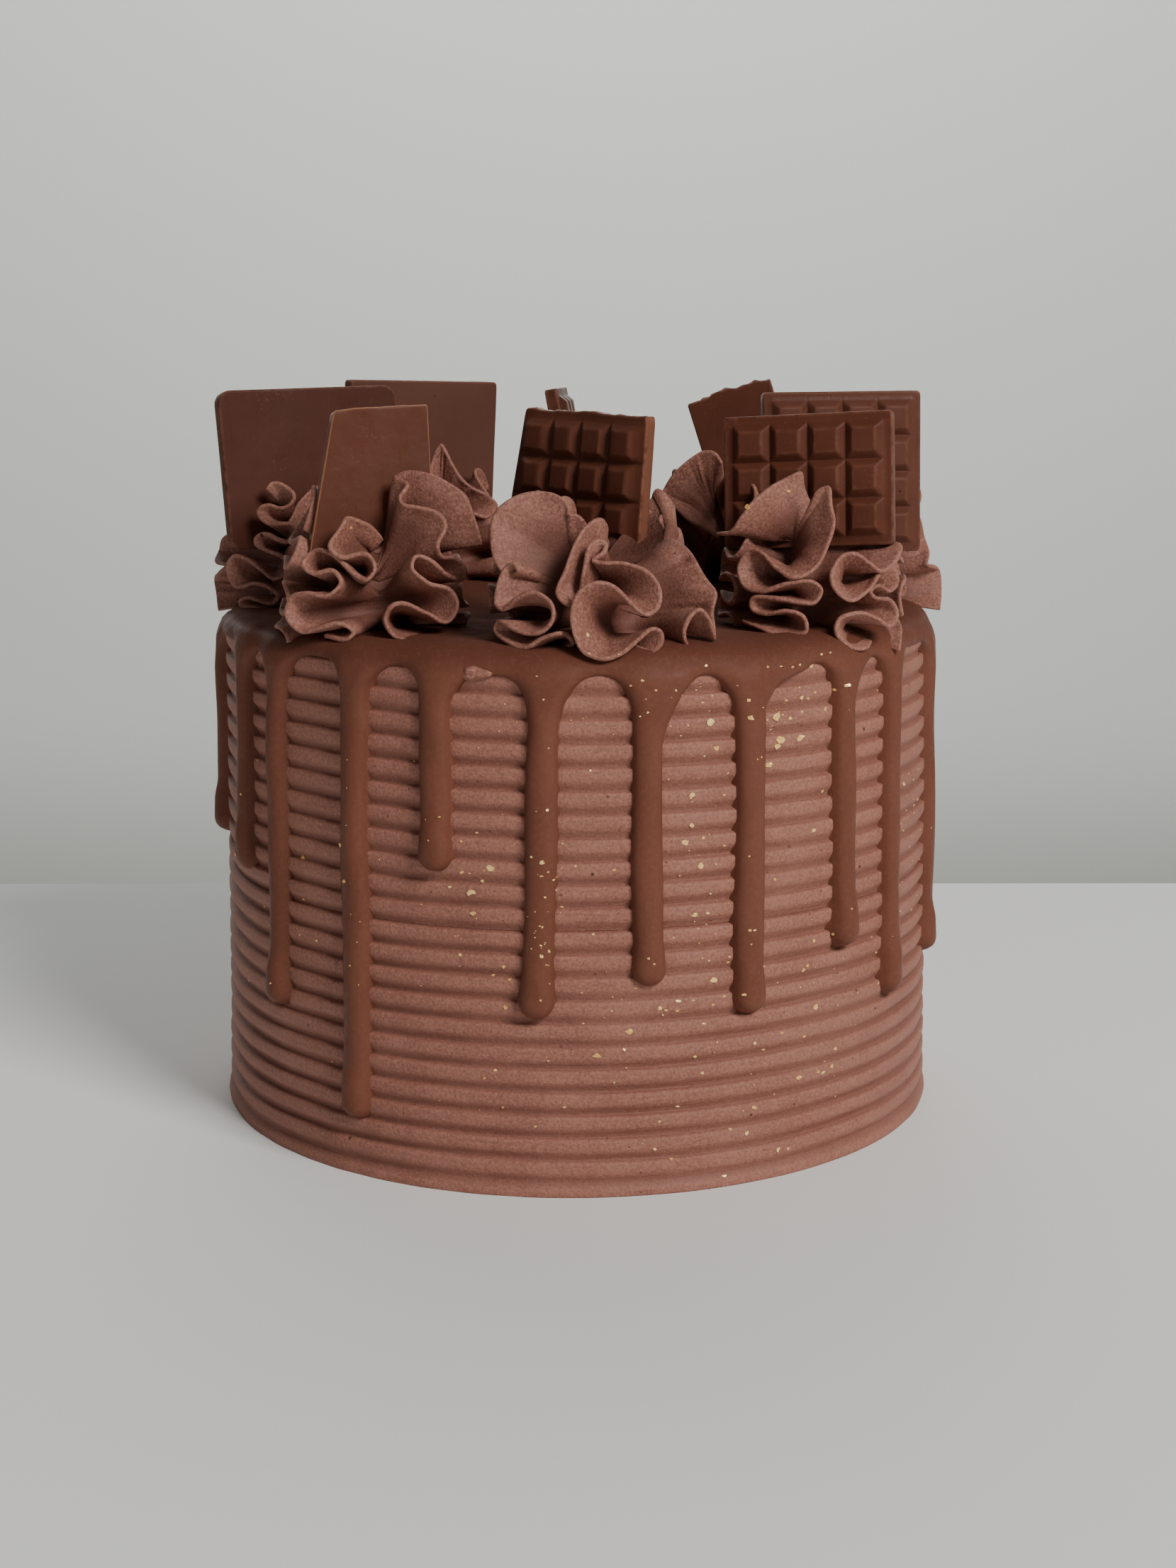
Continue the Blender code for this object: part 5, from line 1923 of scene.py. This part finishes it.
@dataclass
class GoldFlecks:
    """Flecks of gold leaf on the combed side and the drips.

    A larger fleck is given by its angle, its ridge counted from the top and its width in millimetres.
    No fleck lies nearer to the ganache's outline than the clear width.
    """

    comb: Comb
    coat: GanacheCoat
    sides: int = 8
    seed: int = 17
    thickness: float = 0.05 * MM
    sunk: float = 0.25 * MM
    proud: float = 0.02 * MM
    clear_inside: float = 0.5 * MM
    clear_outside: float = 0.6 * MM
    heights: Pair = (2, 103.5)
    sizes: Pair = (0.25, 2.3)
    larger: tuple[Triple, ...] = (
        (31.2, 1, 1.9), (35.6, 2, 1.8), (32.0, 2, 1.9), (29.9, 3, 1.8), (20.3, 1, 1.6), (17.4, 4, 1.5),
        (16.4, 6, 1.6), (20.8, 12, 1.6), (3.4, 15, 1.7), (8.0, 14, 1.4), (39.0, 14, 1.4), (35.5, 17, 1.5),
        (-11.8, 7, 1.5), (-14.5, 9, 1.4), (98.0, 13, 1.4), (196.0, 6, 1.4),
    )
    patches: tuple[Sprinkle, ...] = (
        Sprinkle(33, 95, (4.5, 5), 16, 0.7), Sprinkle(19, 78, (3.5, 16), 14, 0.6),
        Sprinkle(20, 52, (6.0, 9), 12, 0.7), Sprinkle(8, 38, (8.0, 9), 18, 0.6),
        Sprinkle(38, 45, (8.0, 18), 16, 0.7), Sprinkle(-4, 60, (3.5, 22), 26, 0.6),
        Sprinkle(-14, 64, (6.0, 24), 26, 0.6), Sprinkle(4, 20, (20, 10), 12, 0.6),
        Sprinkle(30, 20, (14, 9), 12, 0.7), Sprinkle(10, 100, (26, 5), 30, 0.6),
        Sprinkle(62, 60, (14, 28), 40, 0.9), Sprinkle(-34, 60, (3.0, 30), 16, 0.7),
        Sprinkle(-50, 55, (14, 30), 18, 0.7), Sprinkle(110, 58, (24, 30), 60, 0.9),
        Sprinkle(180, 60, (40, 32), 70, 0.9), Sprinkle(250, 58, (34, 30), 44, 0.8),
    )

    def scattered(self, draw: np.random.Generator) -> tuple[Array, Array, Array]:
        """The larger flecks and the loose patches.

        Args:
            draw: source of the patches' places and widths.

        Returns:
            Middles (flecks, 3), outward directions (flecks, 3) and widths.
        """
        known = np.array(self.larger)
        angle, size = [known[:, 0]], [known[:, 2] * 1.05]
        height = [(self.comb.top_groove - self.comb.pitch * (known[:, 1] + 1.3)) / MM]
        for patch in self.patches:
            angle.append(draw.normal(patch.angle, patch.spread[0] * 0.6, patch.count))
            height.append(draw.normal(patch.height, patch.spread[1] * 0.6, patch.count))
            size.append(patch.size * draw.lognormal(-0.55, 0.5, patch.count))
        angle = np.concatenate(angle)
        height = np.clip(np.concatenate(height), *self.heights) * MM
        size = np.clip(np.concatenate(size), *self.sizes) * MM
        inside = self.coat.edge_distance(angle, height)
        on_coat = self.comb.crest(height) + self.coat.fullness(angle, height) * self.coat.lift(inside)
        on_comb = self.comb.radius(angle, height, self.comb.phase(height))
        radius = np.where(inside > 0, on_coat, on_comb)
        kept = (inside > self.clear_inside) | (inside < -self.clear_outside)
        angle, height, size, radius = angle[kept], height[kept], size[kept], radius[kept]
        return polar(angle, radius + self.proud, height), polar(angle, 1.0, 0.0 * angle), size

    def seen(self, carriers: list[Piece]) -> tuple[Array, Array, Array]:
        """The flecks that the photo shows, each where its line of sight first meets a carrier.

        Args:
            carriers: the pieces that flecks lie on.

        Returns:
            Middles (flecks, 3), outward directions (flecks, 3) and widths.
        """
        found = []
        for across, down, width in SEEN_FLECKS:
            met = CAMERA.first_met(across, down, carriers)
            if met:
                place, outward = met
                found.append((*place, *outward, width * MM))
        rows = np.array(found)
        return rows[:, :3], rows[:, 3:6], rows[:, 6]

    def chips(self, middle: Array, outward: Array, size: Array, draw: np.random.Generator) -> Array:
        """The flecks' points: a ring under the surface, a crumpled ring over it and a centre.

        Args:
            middle: middles (flecks, 3).
            outward: directions (flecks, 3) away from what they lie on.
            size: widths.
            draw: source of their turn, outline and curl.

        Returns:
            Array (flecks, two rings and a centre, 3).
        """
        count = len(middle)
        across = unit(np.cross(UP, outward))
        upward = np.cross(outward, across)
        turn = np.linspace(0, TURNAROUND, self.sides, endpoint=False) + draw.uniform(0, 6, (count, 1))
        reach = size[:, None] / 2 * draw.uniform(0.55, 1.25, (count, self.sides))
        flat = (reach * np.cos(turn))[..., None] * across[:, None]
        flat = flat + (reach * np.sin(turn) * draw.uniform(0.5, 1, (count, 1)))[..., None] * upward[:, None]
        curl = draw.uniform(-0.02, 0.16, (count, self.sides, 1)) * size[:, None, None]
        middle, outward = middle[:, None], outward[:, None]
        top = middle + flat + (curl + self.thickness) * outward
        low = middle + flat * 0.9 - self.sunk * outward
        centre = middle + (0.08 * MM + 0.05 * size)[:, None, None] * outward
        return np.concatenate([low, top, centre], axis=1)

    def build(self, carriers: list[Piece]) -> Piece:
        """Lays the flecks as low crumpled chips, all in one mesh.

        Args:
            carriers: the pieces that the seen flecks lie on.

        Returns:
            The dressed flecks.
        """
        draw = np.random.default_rng(self.seed)
        parts = zip(self.scattered(draw), self.seen(carriers))
        points = self.chips(*(np.concatenate(pair) for pair in parts), draw)
        base = (np.arange(len(points)) * points.shape[1])[:, None, None]
        ring = np.arange(self.sides)
        following = (ring + 1) % self.sides
        walls = np.stack([ring, following, following + self.sides, ring + self.sides], axis=-1)
        centre = np.full(self.sides, 2 * self.sides)
        tops = np.stack([ring + self.sides, following + self.sides, centre], axis=-1)
        faces = [(base + walls[None]).reshape(-1, 4), (base + tops[None]).reshape(-1, 3)]
        piece = shell("gold_flecks", points.reshape(-1, 3), faces)
        facet(piece)
        return dress(piece, GOLD, "buttercream", "cake")


@dataclass
class Smear:
    """A dab of buttercream dragged over the hem of the ganache, thick at its left, pointed at its right.

    The place is in pixels of the photo, across and down. The taper is how much lower the right end is.
    """

    place: Pair = (673, 950)
    half_long: float = 3.1 * MM
    half_tall: float = 1.35 * MM
    thick: float = 0.8 * MM
    fold: float = 0.22 * MM
    sunk: float = 0.7 * MM
    taper: float = 0.45
    rings: int = 12
    columns: int = 56

    def build(self, carriers: list[Piece]) -> Piece:
        """Lays the dab where its line of sight first meets a carrier.

        Over a disc of radius 0 to 1 the dab rises as the root of one minus the radius squared, with
        small folds along it, and its half height shrinks towards its right end.

        Args:
            carriers: the pieces that the dab can lie on.

        Returns:
            The new piece.
        """
        place = np.array(CAMERA.first_met(*self.place, carriers)[0])
        outward = unit(place * [1, 1, 0])
        along = np.cross(UP, outward)
        shares = np.linspace(1, 0.04, self.rings)[:, None]
        turns = np.linspace(0, TURNAROUND, self.columns, endpoint=False)[None, :]
        across = shares * np.cos(turns)
        upward = shares * np.sin(turns) * (1 - self.taper * across)
        flat = np.stack([across * self.half_long, upward * self.half_tall, np.zeros_like(across)], axis=-1)
        folds = waves(flat * [0.45, 1.6, 1], 0.8 * MM, 5) * shares * self.fold
        rise = self.thick * np.sqrt(1 - shares ** 2) * (1 - 0.35 * across) + folds
        rise = np.concatenate([np.full((1, self.columns), -self.sunk), rise])
        flat = np.concatenate([flat[:1] * 0.8, flat * (1 + 0.08 * waves(flat, 1.1 * MM, 8)[..., None])])
        rings = place + flat[..., :1] * along + flat[..., 1:2] * UP + rise[..., None] * outward
        piece = closed_shell("cream_smear", rings, rings[[0, -1]].mean(axis=1))
        return dress(piece, BUTTERCREAM, "buttercream")


@dataclass(frozen=True)
class Lamp:
    """A square soft light: where it stands, the point it faces, its side, its watts and its colour."""

    name: str
    place: Triple
    size: float
    power: float
    colour: Triple = (1.0, 1.0, 1.0)
    aim: Triple = (0, 0, 80 * MM)

    def build(self) -> None:
        """Adds the light."""
        light = bpy.data.lights.new(self.name, "AREA")
        light.shape = "SQUARE"
        light.size = self.size
        light.energy = self.power
        light.color = self.colour
        made = bpy.data.objects.new(self.name, light)
        made.location = self.place
        made.visible_camera = False
        made.rotation_euler = (Vector(self.aim) - Vector(self.place)).to_track_quat("-Z", "Y").to_euler()
        bpy.context.scene.collection.objects.link(made)


@dataclass
class Studio:
    """Pale backdrop, sky and soft light."""

    table_end: float = 0.19
    table_edge: float = 0.004
    wall: float = 1.6
    floor: float = -1.0
    reach: float = 6.0
    floor_tone: Colour = (0.91, 0.91, 0.89, 1)
    wall_tone: Colour = (0.80, 0.82, 0.78, 1)
    wall_shade: Colour = (0.50, 0.51, 0.48, 1)
    sky_tone: Colour = (0.86, 0.87, 0.86, 1)
    sky_strength: float = 0.14
    lamps: tuple[Lamp, ...] = (
        Lamp("key", (0.86, -1.10, 1.05), 0.55, 26.0, (1.0, 0.985, 0.96)),
        Lamp("fill", (-0.7, -1.1, 0.6), 1.0, 0.6, (0.97, 0.98, 1.0)),
        Lamp("back", (-0.35, 1.25, 0.55), 1.2, 5.0),
        Lamp("wall_wash", (0.0, 0.35, 1.1), 0.8, 20.0, aim=(0, 1.6, 1.2)),
    )

    def backdrop(self) -> None:
        """A wide pale table top that ends behind the cake, and a plain wall further back.

        The profile runs along the table, down its edge, along the floor and up the wall.
        """
        profile = np.array([
            (-self.reach, 0), (self.table_end - self.table_edge, 0), (self.table_end, -self.table_edge),
            (self.table_end, self.floor), (self.wall, self.floor), (self.wall, self.reach),
        ])
        left = np.column_stack([np.full(len(profile), -self.reach), profile])
        row = np.arange(len(profile) - 1)
        quads = np.stack([row, row + len(profile), row + len(profile) + 1, row + 1], axis=-1)
        made = shell("backdrop", np.concatenate([left, left * [-1, 1, 1]]), [quads])
        facet(made)
        recipe = Recipe("pale_backdrop")
        place = recipe.add("ShaderNodeSeparateXYZ", Vector=recipe.place).outputs
        # Painted shadow: the wall goes darker towards its foot, below the table's edge.
        wall = recipe.blend(recipe.ramp(place["Z"], -0.40, -0.16), self.wall_shade, self.wall_tone)
        colour = recipe.blend(recipe.ramp(place["Y"], 1.0, 1.5), self.floor_tone, wall)
        bump = recipe.relief(recipe.noise(2 * MM, 2), 0.01 * MM)
        made.data.materials.append(recipe.finish(colour, 0.8, bump))

    def build(self) -> None:
        """Sets up backdrop, sky and lights."""
        self.backdrop()
        world = bpy.data.worlds.new("soft_room")
        world.use_nodes = True
        sky = world.node_tree.nodes["Background"]
        sky.inputs["Color"].default_value = self.sky_tone
        sky.inputs["Strength"].default_value = self.sky_strength
        bpy.context.scene.world = world
        for lamp in self.lamps:
            lamp.build()


def main() -> None:
    """Builds the cake's dressed pieces and the studio round them."""
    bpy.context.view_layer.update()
    comb = Comb()
    coat = GanacheCoat(comb)
    creamy = [*CombedSide(comb).build(), coat.build()]
    ruffled = [rosette.build() for rosette in all_rosettes()]
    for bar in all_bars():
        bar.build()
    bpy.context.view_layer.update()
    GoldFlecks(comb, coat).build(creamy + ruffled)
    Smear().build(creamy)
    CAMERA.build()
    Studio().build()


if __name__ == "__main__":
    main()
